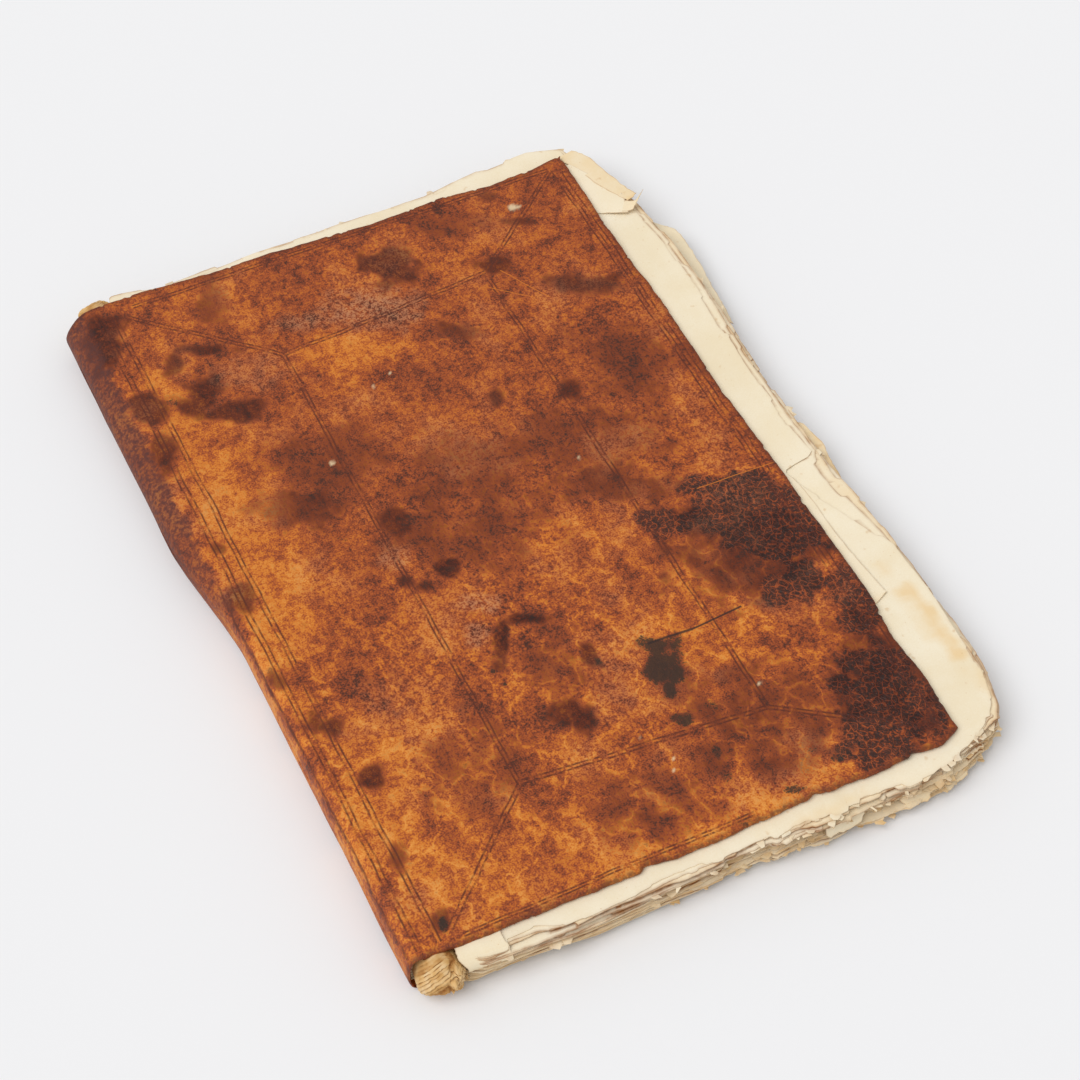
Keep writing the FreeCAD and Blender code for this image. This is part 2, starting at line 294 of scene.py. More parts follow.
def fibreGroup():
    inputs = [("Position", "NodeSocketVector", None), ("Foxing", "NodeSocketFloat", 0.3)]
    outputs = [("Tone", "NodeSocketFloat"), ("Spots", "NodeSocketFloat"), ("Height", "NodeSocketFloat")]
    group, given, result = newGroup("paperFibre", inputs, outputs)
    clouds = cloud(group, given["Position"], 0.03, 3.0, 0.6)
    fine = cloud(group, given["Position"], 1.3, 3.0, 0.65)
    laid = cloud(group, stretch(group, given["Position"], (0.9, 0.04, 0.9)), 1.0, 2.0)
    spots = cloud(group, given["Position"], 0.16, 2.0, 0.55)
    spots = fade(group, spots, 0.66, 0.76)
    flecks = fade(group, cloud(group, given["Position"], 0.7, 1.0), 0.74, 0.8)
    spots = sums(group, "MULTIPLY", sums(group, "MAXIMUM", spots, flecks), given["Foxing"])
    tone = layered(group, 0.0, (clouds, 0.65), (fine, 0.35))
    height = layered(group, 0.0, (fine, 0.65), (laid, 0.35))
    group.links.new(tone, result["Tone"])
    group.links.new(spots, result["Spots"])
    group.links.new(height, result["Height"])
    return group


def weaveGroup():
    inputs = [("Position", "NodeSocketVector", None), ("Thread", "NodeSocketFloat", 0.6)]
    outputs = [("Height", "NodeSocketFloat"), ("Slub", "NodeSocketFloat")]
    group, given, result = newGroup("plainWeave", inputs, outputs)
    turns = place(group, "ShaderNodeVectorMath", {0: given["Position"], 3: math.pi},
                  operation="SCALE").outputs[0]
    split = place(group, "ShaderNodeSeparateXYZ", {0: turns}).outputs
    runY = sums(group, "DIVIDE", split["Y"], given["Thread"])
    runZ = sums(group, "DIVIDE", sums(group, "ADD", split["Z"], split["X"]), given["Thread"])
    warp = sums(group, "MULTIPLY", sums(group, "SINE", runY), sums(group, "SINE", runZ))
    weft = sums(group, "MULTIPLY", sums(group, "COSINE", runY), sums(group, "COSINE", runZ))
    height = sums(group, "MAXIMUM", sums(group, "ABSOLUTE", warp), sums(group, "ABSOLUTE", weft))
    slub = cloud(group, given["Position"], 0.5, 2.0)
    group.links.new(height, result["Height"])
    group.links.new(slub, result["Slub"])
    return group


blindFillet = filletGroup()
paperFibre = fibreGroup()
plainWeave = weaveGroup()
print("shared node groups made")


# Worn leather: ochre calf, rubbed red-brown, with dark stains, dust, cracks and blind fillets

hide = {
    "black": tint(50, 34, 30),
    "umber": tint(88, 44, 28),
    "stain": (0.36, 0.30, 0.34, 1.0),       # a share of the skin's own colour
    "soot": tint(50, 39, 31),
    "redBrown": tint(137, 64, 33),
    "cognac": tint(170, 84, 36),
    "ochre": tint(206, 118, 38),
    "paleOchre": tint(224, 148, 66),
    "dust": tint(184, 140, 106),
    "plum": tint(86, 46, 40),
    "cream": tint(225, 200, 160),
    "groove": tint(84, 38, 26),
}

# Pairs of blind lines on each cover: x and y of both ends, half the gap between the two lines
fillets = (
    (-122.9, -206, -123.6, 203, 1.1), (-132.2, -206, -130.9, 203, 1.2),
    (-57, -148, -54, 140, 1.0), (63, -160, 64, 149, 1.0),
    (-57, -148, 63, -160, 1.0), (-54, 140, 64, 149, 1.0),
    (-57, -148, -117, -203, 1.1), (63, -160, 126, -203, 1.0),
    (-54, 140, -118, 201, 1.0), (64, 149, 128, 203, 1.0),
    (128.5, -203, 130.5, 204, 1.1), (132.6, -170, 134.0, 200, 0.0),
    (-112, -207.4, 30, -207.4, 0.8), (-112, 206, 128, 205, 1.0), (-138.0, -206, -138.4, 20, 0.0),
)
filletWidth = 0.62      # half the width of one line
# Scratches: x and y of both ends, half the width
scratches = (
    (30, -104, 53, -105.5, 0.9), (53, -105.5, 80, -104, 0.7),
)
paleScratches = (
    (95, -31, 138, -32, 0.35), (72, 147, 87, 118, 0.35), (60, 139, 80, 121, 0.3),
)


def lineAcross(tree, position, wobble, mark, halfGap, halfWidth):
    startX, startY, endX, endY = mark
    length = math.hypot(endX - startX, endY - startY)
    along = ((endX - startX) / length, (endY - startY) / length, 0.0)
    inputs = {"Position": position, "Wobble": wobble, "Start": (startX, startY, 0.0),
              "Along": along, "Length": length, "Half Gap": halfGap, "Half Width": halfWidth}
    return useGroup(tree, blindFillet, inputs)["Line"]


def wornLeather():
    material, tree, shader, position = newMaterial("wornLeather")
    stains = attributeNode(tree, "stains")
    marks = attributeNode(tree, "marks")
    stain = place(tree, "ShaderNodeSeparateColor", {0: stains.outputs["Color"]}).outputs
    mark = place(tree, "ShaderNodeSeparateColor", {0: marks.outputs["Color"]}).outputs
    dark, ochre, dust, cream = stain[0], stain[1], stain[2], stains.outputs["Alpha"]
    soot, crackle, veined, edge = mark[0], mark[1], mark[2], marks.outputs["Alpha"]

    clouds = cloud(tree, position, 0.028, 2.0, 0.6, 0.3)
    patches = cloud(tree, position, 0.12, 3.0, 0.66, 0.5)
    streaks = cloud(tree, stretch(tree, position, (0.42, 0.11, 0.30)), 1.0, 2.0, 0.62, 0.6)
    specks = cloud(tree, position, 0.50, 1.0, 0.6)
    stipple = cloud(tree, position, 1.25, 0.0, 0.5)

    # cracks: a wide net of pale veins, and a fine net where the skin is burnt dark
    bent = place(tree, "ShaderNodeTexNoise", {"Vector": position, "Scale": 0.12, "Detail": 1.0})
    shift = vectors(tree, "SUBTRACT", bent.outputs["Color"], (0.5, 0.5, 0.5))[0]
    wide = vectors(tree, "ADD", stretch(tree, shift, (17.0, 17.0, 0.0)), position)[0]
    cells = cracks(tree, stretch(tree, wide, (1.0, 0.58, 0.0)), 0.046)
    veins = fade(tree, cells, 0.0, 0.050, 1.0, 0.0)
    veins = sums(tree, "MULTIPLY", veins, sums(tree, "MULTIPLY", fade(tree, specks, 0.22, 0.50), veined))
    beside = sums(tree, "MULTIPLY", fade(tree, cells, 0.0, 0.30, 0.6, -0.4), veined)
    close = vectors(tree, "ADD", stretch(tree, shift, (4.0, 4.0, 0.0)), position)[0]
    net = fade(tree, cracks(tree, stretch(tree, close, (1.0, 0.85, 0.0)), 0.30), 0.0, 0.11, 1.0, 0.0)
    smallNet = cracks(tree, stretch(tree, close, (0.9, 1.0, 0.0)), 0.62)
    smallNet = fade(tree, smallNet, 0.0, 0.14, 0.55, 0.0)
    net = sums(tree, "MULTIPLY", sums(tree, "MAXIMUM", net, smallNet), fade(tree, specks, 0.26, 0.54))
    crackleShare = fade(tree, sums(tree, "MULTIPLY_ADD", patches, 1.1, crackle), 0.66, 1.22)

    # a high tone is pale ochre, a low tone is nearly black
    fine = fade(tree, stipple, 0.25, 0.75, -0.5, 0.5)
    mottled = fade(tree, patches, 0.36, 0.64, -0.5, 0.5)
    speckled = fade(tree, specks, 0.3, 0.7, -0.5, 0.5)
    tone = layered(tree, 0.036, (clouds, 0.55), (mottled, 0.19), (streaks, 0.26), (speckled, 0.18),
                   (fine, 0.22), (ochre, 0.28), (dark, -0.12), (veins, 0.15), (beside, 0.14))
    burnt = layered(tree, -0.05, (specks, 0.26), (net, 0.40), (fine, 0.09))
    tone = place(tree, "ShaderNodeMix", {0: crackleShare, 2: tone, 3: burnt}).outputs[0]
    skin = ramp(tree, tone, (
        (0.0, hide["black"]), (0.20, hide["umber"]), (0.38, hide["redBrown"]),
        (0.54, hide["cognac"]), (0.72, hide["ochre"]), (0.95, hide["paleOchre"])))

    # stains and soot have ragged, speckled borders
    broken = layered(tree, 0.0, (specks, 0.9), (patches, 1.2), (fine, 0.35))
    stained = fade(tree, sums(tree, "ADD", broken, dark), 1.15, 1.95, 0.0, 0.95)
    skin = blendTints(tree, stained, skin, hide["stain"], "MULTIPLY")

    # grey dust lies on the high spots
    high = fade(tree, sums(tree, "ADD", stipple, specks), 0.80, 1.20)
    dusty = sums(tree, "MAXIMUM", dust, fade(tree, clouds, 0.5, 0.75, 0.0, 0.35))
    dusty = sums(tree, "MULTIPLY", dusty, high)
    skin = blendTints(tree, sums(tree, "MULTIPLY", dusty, 0.5), skin, hide["dust"])

    # soot spots, and the purple-brown side of the spine towards the head
    split = place(tree, "ShaderNodeSeparateXYZ", {0: position}).outputs
    ragged = sums(tree, "MULTIPLY_ADD", mottled, 3.5, split["X"])
    side = fade(tree, ragged, -136.0, -140.5)
    low = sums(tree, "MULTIPLY_ADD", clouds, 160.0, split["Y"])
    side = sums(tree, "MULTIPLY", side, fade(tree, low, 40.0, 170.0, 0.12, 1.0))
    side = sums(tree, "MULTIPLY", side, fade(tree, specks, 0.25, 0.65, 0.95, 0.55))
    skin = blendTints(tree, side, skin, hide["plum"])
    sooty = fade(tree, sums(tree, "MULTIPLY_ADD", soot, 1.25, broken), 1.60, 2.15, 0.0, 0.92)
    skin = blendTints(tree, sooty, skin, hide["soot"])

    wobble = sums(tree, "MULTIPLY_ADD", cloud(tree, position, 0.04, 1.0), 2.2, -1.1)
    lines = 0.0
    for *mark, halfGap in fillets:
        line = lineAcross(tree, position, wobble, mark, halfGap, filletWidth)
        lines = sums(tree, "MAXIMUM", line, lines)
    lines = sums(tree, "MULTIPLY", lines, fade(tree, streaks, 0.36, 0.60, 0.25, 1.0))
    skin = blendTints(tree, sums(tree, "MULTIPLY", lines, 0.85), skin, hide["groove"])
    for *mark, halfWidth in scratches:
        line = lineAcross(tree, position, wobble, mark, 0.0, halfWidth)
        skin = blendTints(tree, sums(tree, "MULTIPLY", line, 0.9), skin, hide["black"])
    for *mark, halfWidth in paleScratches:
        line = lineAcross(tree, position, wobble, mark, 0.0, halfWidth)
        skin = blendTints(tree, sums(tree, "MULTIPLY", line, 0.8), skin, hide["ochre"])
    skin = blendTints(tree, sums(tree, "MULTIPLY", cream, 0.85), skin, hide["cream"])
    rubbed = sums(tree, "MULTIPLY", edge, fade(tree, specks, 0.3, 0.6, 0.2, 0.9))
    skin = blendTints(tree, rubbed, skin, hide["umber"])
    tree.links.new(skin, shader.inputs["Base Color"])

    gloss = fade(tree, stipple, 0.3, 0.7, 0.52, 0.66)
    gloss = layered(tree, gloss, (crackleShare, -0.16), (dusty, 0.15))
    tree.links.new(gloss, shader.inputs["Roughness"])
    shader.inputs["Specular IOR Level"].default_value = 0.26

    crackDepth = sums(tree, "MULTIPLY", smallNet, crackle)
    height = layered(tree, 0.0, (stipple, 0.30), (specks, 0.55), (streaks, 1.1), (crackDepth, -1.2))
    setBump(tree, shader, height, 0.75, 0.00042)
    return material


# Old paper, board and linen. The leaves are cream, and tan along their torn edges

paper = {
    "cream": tint(242, 231, 207),
    "shade": tint(235, 219, 187),
    "tan": tint(230, 190, 124),
    "brown": tint(154, 94, 38),
    "foxing": tint(206, 164, 110),
}
board = {
    "dull": tint(138, 112, 84),
    "bright": tint(186, 160, 124),
    "spots": tint(104, 78, 52),
}
endpaper = {
    "dull": tint(222, 204, 168),
    "bright": tint(238, 224, 196),
    "waterStain": tint(172, 124, 76),
    "stainFrom": 12.0,      # fully stained up to here from its edges, and clean from the next
    "stainTo": 34.0,
    "ragged": 26.0,
}
linen = {
    "spineLinen": {"thread": 0.8, "dull": tint(168, 148, 112), "bright": tint(214, 198, 164)},
    "tapeLinen": {"thread": 0.5, "dull": tint(190, 172, 136), "bright": tint(232, 220, 192)},
}


def oldPaper():
    material, tree, shader, position = newMaterial("oldPaper")
    fibre = useGroup(tree, paperFibre, {"Position": position, "Foxing": 0.4})
    rim = attributeNode(tree, "rim").outputs["Fac"]
    agedAndShaded = attributeNode(tree, "agedAndShaded").outputs["Fac"]
    sheet = blendTints(tree, fade(tree, fibre["Tone"], 0.3, 0.72), paper["shade"], paper["cream"])
    blotches = cloud(tree, position, 0.09, 3.0, 0.62)
    # tan for old paper, and on the guards also painted shade in their crushed hollows
    age = sums(tree, "MULTIPLY", agedAndShaded, fade(tree, blotches, 0.2, 0.7, 0.4, 1.1))
    sheet = blendTints(tree, age, sheet, paper["tan"])
    sheet = blendTints(tree, fibre["Spots"], sheet, paper["foxing"])
    # the rim attribute browns the torn edges, and also holds painted shade between the leaves and in the
    # guards' grooves
    brownedAndShaded = sums(tree, "MULTIPLY", rim, fade(tree, blotches, 0.35, 0.65, 0.4, 1.0))
    sheet = blendTints(tree, brownedAndShaded, sheet, paper["brown"])
    setFinish(tree, shader, sheet, 0.82, 0.2)
    setBump(tree, shader, fibre["Height"], 0.35, 0.00015)
    return material


def greyBoard():
    material, tree, shader, position = newMaterial("pasteBoard")
    fibre = useGroup(tree, paperFibre, {"Position": position, "Foxing": 0.8})
    sheet = blendTints(tree, fade(tree, fibre["Tone"], 0.3, 0.7), board["dull"], board["bright"])
    sheet = blendTints(tree, fibre["Spots"], sheet, board["spots"])
    setFinish(tree, shader, sheet, 0.9)
    setBump(tree, shader, fibre["Height"], 0.6, 0.0004)
    return material


def pastedPaper():
    material, tree, shader, position = newMaterial("pastedPaper")
    fibre = useGroup(tree, paperFibre, {"Position": position, "Foxing": 0.7})
    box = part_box("front_pastedown")
    middle = (box[0] + box[1]) / 2 / mm
    half = (box[1] - box[0]) / 2 / mm
    away = vectors(tree, "SUBTRACT", position, (middle.x, middle.y, 0.0))[0]
    split = place(tree, "ShaderNodeSeparateXYZ", {0: away}).outputs
    nearSide = sums(tree, "SUBTRACT", half.x, sums(tree, "ABSOLUTE", split["X"]))
    nearEnd = sums(tree, "SUBTRACT", half.y, sums(tree, "ABSOLUTE", split["Y"]))
    near = sums(tree, "MINIMUM", nearSide, nearEnd)
    near = sums(tree, "MULTIPLY_ADD", cloud(tree, position, 0.06, 4.0, 0.6), endpaper["ragged"], near)
    stained = fade(tree, near, endpaper["stainFrom"], endpaper["stainTo"], 0.8, 0.0)
    sheet = blendTints(tree, fade(tree, fibre["Tone"], 0.3, 0.7), endpaper["dull"], endpaper["bright"])
    sheet = blendTints(tree, stained, sheet, endpaper["waterStain"])
    sheet = blendTints(tree, fibre["Spots"], sheet, paper["foxing"])
    setFinish(tree, shader, sheet, 0.85)
    setBump(tree, shader, fibre["Height"], 0.5, 0.0003)
    return material


def wovenLinen(name):
    material, tree, shader, position = newMaterial(name)
    weave = useGroup(tree, plainWeave, {"Position": position, "Thread": linen[name]["thread"]})
    mixed = layered(tree, 0.0, (weave["Height"], 0.5), (weave["Slub"], 0.6))
    cloth = blendTints(tree, fade(tree, mixed, 0.35, 0.85), linen[name]["dull"], linen[name]["bright"])
    setFinish(tree, shader, cloth, 0.88)
    setBump(tree, shader, weave["Height"], 0.8, 0.0003)
    return material


leather = wornLeather()
leafPaper = oldPaper()
nodeFinish = {
    "_board": greyBoard(),
    "_pastedown": pastedPaper(),
    "spine_linen": wovenLinen("spineLinen"),
    "sewing_tape": wovenLinen("tapeLinen"),
}
for name, node in frame["nodes"].items():
    for part, material in nodeFinish.items():
        if part in name:
            node.data.materials[0] = material
print("materials made")


# The leather skins

cover = {
    "step": 1.4,            # spacing of the mesh
    "skin": 1.0,            # thickness of the leather
    "shoulder": 6.0,        # how far the rounding at the hinge reaches over the cover
    "spineColumns": 27,
    "wear": 2.6,            # how far the worn edge wanders
    "flatBulge": 1.5,       # how far the spine stands out at the tail
    "swollenBulge": 11.0,   # and at the head
    "flatUntil": -20.5,
    "swollenFrom": 59.5,
    "fadeIn": 14.0,         # the edge's wander fades out this far inside it
    "nibbleReach": 4.0,     # and the small nibbles this far
    "cockle": 0.30,         # height of the skin's wide waves
    "ripple": 0.10,         # and of the narrow ones
    "curl": 0.55,           # how far a thin edge lifts
    "sag": 0.22,            # height of the waves under the book
    "crease": 0.22,         # depth of the creases over the spine
    "turnInWander": 1.6,    # how unevenly the turned-in leather is cut
    "backStains": 34,
    "backSpots": 12,
}
leatherHead = ((0.0, 1.5), (0.12, 1.8), (0.22, 0.8), (0.36, 0.6), (0.46, 0.0), (0.62, -0.6),
               (0.74, 0.1), (0.84, -0.85), (0.94, -0.15), (1.0, 0.9))
leatherTail = ((0.0, -0.15), (0.1, 0.1), (0.28, 0.35), (0.395, 0.75), (0.405, -0.1), (0.43, 0.3),
               (0.5, 0.9), (0.6, 0.4), (0.70, 0.35), (0.712, -0.3), (0.735, 0.25), (0.85, 0.7),
               (0.885, 0.4), (0.896, -0.35), (0.915, 0.3), (0.95, 0.6), (0.98, -0.4), (1.0, -1.5))
leatherFore = ((0.015, -0.9), (0.08, -0.25), (0.14, -1.0), (0.2, 0.15), (0.42, 0.25),
               (0.55, -0.3), (0.7, 0.3), (0.86, -0.25), (1.0, 0.45))
turnIn = 14.0       # how far the leather is turned in over the board
# Rings round a cover's edge: in from the edge, down from the outer face, share of the lift
coverRings = (
    (0.25, 0.3, 1.0), (0.0, 0.8, 1.0), (0.0, 2.0, 1.0), (0.3, 2.6, 1.0), (0.9, 2.8, 1.0),
    (3.6, 2.8, 0.0), (turnIn, 2.8, 0.0), (turnIn, 2.2, 0.0), (3.4, 2.2, 0.0), (1.0, 2.2, 1.0),
    (1.0, 1.0, 0.0),
)
hingeRings = 2      # the first rings also run round the spine's and the hinge strip's ends
topInset = 0.8      # the outer face stops this far inside the edge

# Marks on the front cover, each an oval: centre, one half axis, the other half axis, strength
darkStains = (
    (21, 178, 14, -7, -7, -16, 0.95), (67, 153, 12, -6, -3, -7, 0.75),
    (107, 118, 18, -8, -4, -8, 0.75), (34, 117, 11, -5, -3, -7, 0.6),
    (30, 64, 4, -1, -3, -7, 0.7), (67, 55, 7, -2, -5, -10, 0.7),
    (89, 201, 6, -2, 0, 4, 0.5), (98, 175, 12, -6, -1, -3, 0.6),
    (-107, 158, 5, -2, -3, -8, 0.7), (-103, 131, 10, -4, -5, -14, 0.85),
    (-89, 114, 19, -9, -3, -7, 0.8), (-89, 160, 15, -7, -2, -4, 0.75),
    (-135, 191, 12, -4, -6, -18, 0.95), (-129, 136, 7, -4, -4, -12, 0.85),
    (-131, 105, 6, -3, -5, -14, 0.85), (-130, 36, 4, -1, 0, 5, 0.75),
    (-133, 3, 6, -3, -4, -11, 0.85), (-134, -47, 4, -1, 0, 6, 0.7),
    (-126, -81, 9, -4, -1, -6, 0.9), (-116, -116, 7, -2, -2, -7, 0.9),
    (-122, -160, 5, -2, -2, -8, 0.7), (-118, -196, 4, -1, -2, -6, 0.7),
    (-85, 41, 21, -10, -5, -13, 0.55), (-46, 15, 10, -5, -4, -10, 0.7),
    (-57, -20, 5, 0, 0, 5, 0.7), (-48, -28, 5, 0, 0, 5, 0.7),
    (-35, -23, 8, -2, -1, -5, 0.9), (-31, -74, 5, 0, -7, -15, 0.85),
    (-15, -66, 11, -3, 0, 4, 0.8), (3, -98, 5, 0, -1, -10, 0.85),
    (-22, -125, 11, -5, -4, -8, 0.8), (-15, -97, 16, 0, 0, 24, 0.35),
    (0, 30, 34, -14, -10, -26, 0.4), (60, 20, 40, -18, -10, -24, 0.35),
    (-20, -5, 40, -18, -10, -22, 0.35), (105, 60, 30, -12, -8, -30, 0.35),
    (100, -75, 38, -18, -12, -30, 0.6), (118, -165, 28, -10, -10, -42, 0.6),
    (60, -10, 26, -12, -6, -14, 0.5), (-60, 60, 30, -12, -8, -24, 0.35),
    (60, 190, 26, -11, -5, -10, 0.3), (-75, 190, 10, -4, -5, -18, 0.5),
    (62, -168, 44, -18, -10, -30, 0.42), (-10, -185, 34, -14, -8, -24, 0.3),
    (-70, -130, 26, -10, -8, -26, 0.3),
)
sootSpots = (
    (31, -118, 11, -4, -6, -15, 1.0), (33, -108, 13, -3, -2, -7, 1.0),
    (27, -132, 4, 0, 0, 6, 1.0), (-42, -87, 2.4, 0, 0, 2.4, 1.0),
    (-40, -96, 1.6, 0, 0, 1.6, 1.0), (5, -104, 2.5, 0, 0, 6, 0.8),
    (25, -149, 6, -2, -1, -5, 0.9), (40, -148, 8, -3, 0, 3, 0.6),
    (30, -172, 2.5, 0, -1, -5, 0.8), (28, -184, 3, 0, 0, 4, 0.6),
    (51, -204, 6, -2, 0, 3, 0.85), (77, -198, 4, -1, 0, 3, 0.7),
    (23, -209, 5, -2, 0, 4, 0.6), (-118, 134, 4, -2, 0, 2.5, 0.75),
    (-75, 16, 4, -3, 0, 1.6, 0.75), (26, 181, 8, -4, -4, -9, 0.35),
    (-35, -23, 4, -1, -1, -3, 0.7), (-57, -20, 2.4, 0, 0, 2.6, 0.7),
    (-90, 60, 3, -1, 0, 2.2, 0.5), (-118, -199, 2.6, 0, -1, -4, 0.9),
    (-126, -81, 3, -1, -1, -3, 0.5), (70, -190, 3, -1, -1, -4, 0.6),
    (98, -206, 5, -2, -1, -2, 0.5), (64, -147, 2.6, -1, 0, 1.2, 0.45),
)
crackleZones = (
    (109, -49, 28, -13, -12, -21, 1.0), (113, -105, 22, -11, -7, -12, 0.7),
    (77, -46, 22, -11, -5, -9, 0.75), (113, -184, 25, -12, -16, -30, 1.0),
    (134, -130, 11, -5, -10, -17, 0.85), (119, -74, 19, -8, -8, -27, 1.0),
)
dustZones = (
    (-1, 151, 22, -11, -6, -14, 0.95), (-39, 158, 12, -4, -1, -8, 0.8),
    (-33, -47, 10, -3, -1, -7, 0.8), (-56, -5, 8, -2, -1, -8, 0.7),
    (-40, -65, 6, 0, 0, 9, 0.7), (-70, 135, 20, -9, -4, -12, 0.4),
    (-90, -90, 24, -10, -6, -18, 0.25),
)
ochreZones = (
    (-118, 40, 17, 0, 0, 150, 0.75), (-110, 60, 22, -4, -4, -60, 0.5),
    (-116, -130, 20, 0, 0, 85, 0.65), (-24, 127, 26, -13, -6, -15, 0.8),
    (-18, -208, 70, -5, 0, 12, 0.6), (22, -30, 25, -12, -6, -12, 0.4),
    (-85, -175, 40, -10, -8, -30, 0.45), (-133, -20, 4, 0, 0, 50, 0.9),
    (70, -205, 50, 0, 0, 8, 0.5), (-70, 190, 40, -14, -8, -18, 0.35),
    (60, -110, 26, -10, -8, -20, 0.35), (-136, -150, 6, 0, 0, 60, 0.5),
    (-60, -195, 60, 0, 0, 18, 0.4), (40, 175, 60, -18, -8, -20, 0.2),
)
creamNicks = ((98, 187, 2.4), (101, 186, 1.4), (-10, 105, 0.9), (-21, 100, 0.8), (52, 12, 0.8),
              (-60, 62, 1.3), (8, -172, 0.9), (11, -166, 0.8), (2, -150, 0.7), (66, -147, 1.0))


def ovals(x, y, marksList, seed, raggedness=0.42):
    total = np.zeros(len(x))
    ragged = rough(x / 9.0, y / 9.0, seed) * raggedness
    for centreX, centreY, ax, ay, bx, by, strength in marksList:
        across = ax * by - ay * bx
        s = ((x - centreX) * by - (y - centreY) * bx) / across
        t = ((y - centreY) * ax - (x - centreX) * ay) / across
        near = ease(1.3, 0.45, np.hypot(s, t) + ragged)
        total = np.maximum(total, near * strength)
    return total


def bulgeAt(y):
    share = (y - cover["flatUntil"]) / (cover["swollenFrom"] - cover["flatUntil"])
    return cover["flatBulge"] + (cover["swollenBulge"] - cover["flatBulge"]) * ease(0, 1, share)


def spineSection(y, turn):
    swollen = (bulgeAt(y) - cover["flatBulge"]) / (cover["swollenBulge"] - cover["flatBulge"])
    power = 2.9 - 0.65 * swollen
    reach = bulgeAt(y) + cover["shoulder"]
    x = book["hingeX"] + cover["shoulder"] - reach * np.cos(turn) ** (2.0 / power)
    z = book["middleZ"] + book["middleZ"] * np.sin(turn) ** (2.0 / power)
    return x, z


def backMarks(seed):  # the photo doesn't show the back cover, so its marks are strewn over it
    shuffled = np.random.RandomState(seed)
    darkList = [(shuffled.uniform(-125, 130), shuffled.uniform(-195, 195), shuffled.uniform(6, 26),
                 shuffled.uniform(-8, 4), shuffled.uniform(-6, 6), shuffled.uniform(-26, -6),
                 shuffled.uniform(0.4, 0.85)) for _ in range(cover["backStains"])]
    sootList = [(shuffled.uniform(-125, 130), shuffled.uniform(-195, 195), shuffled.uniform(2, 6),
                 0.0, 0.0, shuffled.uniform(2, 7), shuffled.uniform(0.4, 0.8))
                for _ in range(cover["backSpots"])]
    ochreList = ochreZones[:3] + ((60, 60, 40, -10, -8, -60, 0.4), (0, -150, 60, 0, 0, 40, 0.3))
    crackleList = ((110, 170, 26, -8, -10, -34, 0.9), (124, 0, 14, 0, -4, -50, 0.6))
    dustList = ((10, 20, 70, -20, -20, -90, 0.35),)
    return darkList, sootList, ochreList, crackleList, dustList, ()


def markSkin(piece, points, fromEdge, flipped, seed):  # what the leather's material reads
    x, y, z = points.T
    insideX = book["hingeX"] + cover["shoulder"]
    if flipped:
        z = book["thickness"] - z
        darkList, sootList, ochreList, crackleList, dustList, nicks = backMarks(seed)
    else:
        darkList, sootList, ochreList = darkStains, sootSpots, ochreZones
        crackleList, dustList, nicks = crackleZones, dustZones, creamNicks
    faceSide = ease(book["middleZ"] + 1, book["middleZ"] + 9, z)
    edge = 0.8 * ease(2.2, 0.3, fromEdge)
    under = ease(book["thickness"] - 2.0, book["thickness"] - 2.5, z) * ease(insideX - 1, insideX + 1, x)
    dark = ovals(x, y, darkList, seed + 30) * faceSide
    ochre = ovals(x, y, ochreList, seed + 34) * faceSide
    dust = ovals(x, y, dustList, seed + 38) * faceSide
    soot = ovals(x, y, sootList, seed + 42, 0.35) * faceSide
    crackle = ovals(x, y, crackleList, seed + 46) * faceSide
    veined = ease(60, -110, y) * 0.85 + 0.15
    nick = np.zeros(len(x))
    for nickX, nickY, radius in nicks:
        nick = np.maximum(nick, ease(radius * 1.3, radius * 0.6, np.hypot(x - nickX, y - nickY)))
    lowSpine = (1 - faceSide) * ease(30, -10, y)
    dark = np.maximum(dark, 0.3 * (1 - faceSide) * ease(-10, 40, y))
    dark = dark * (1 - under)
    ochre = np.maximum(np.maximum(ochre * (1 - under), under * 0.5), 0.75 * lowSpine)
    setColours(piece, "stains", (dark, ochre, dust, nick * faceSide))
    setColours(piece, "marks", (soot, crackle * (1 - under), veined * (1 - under), edge))


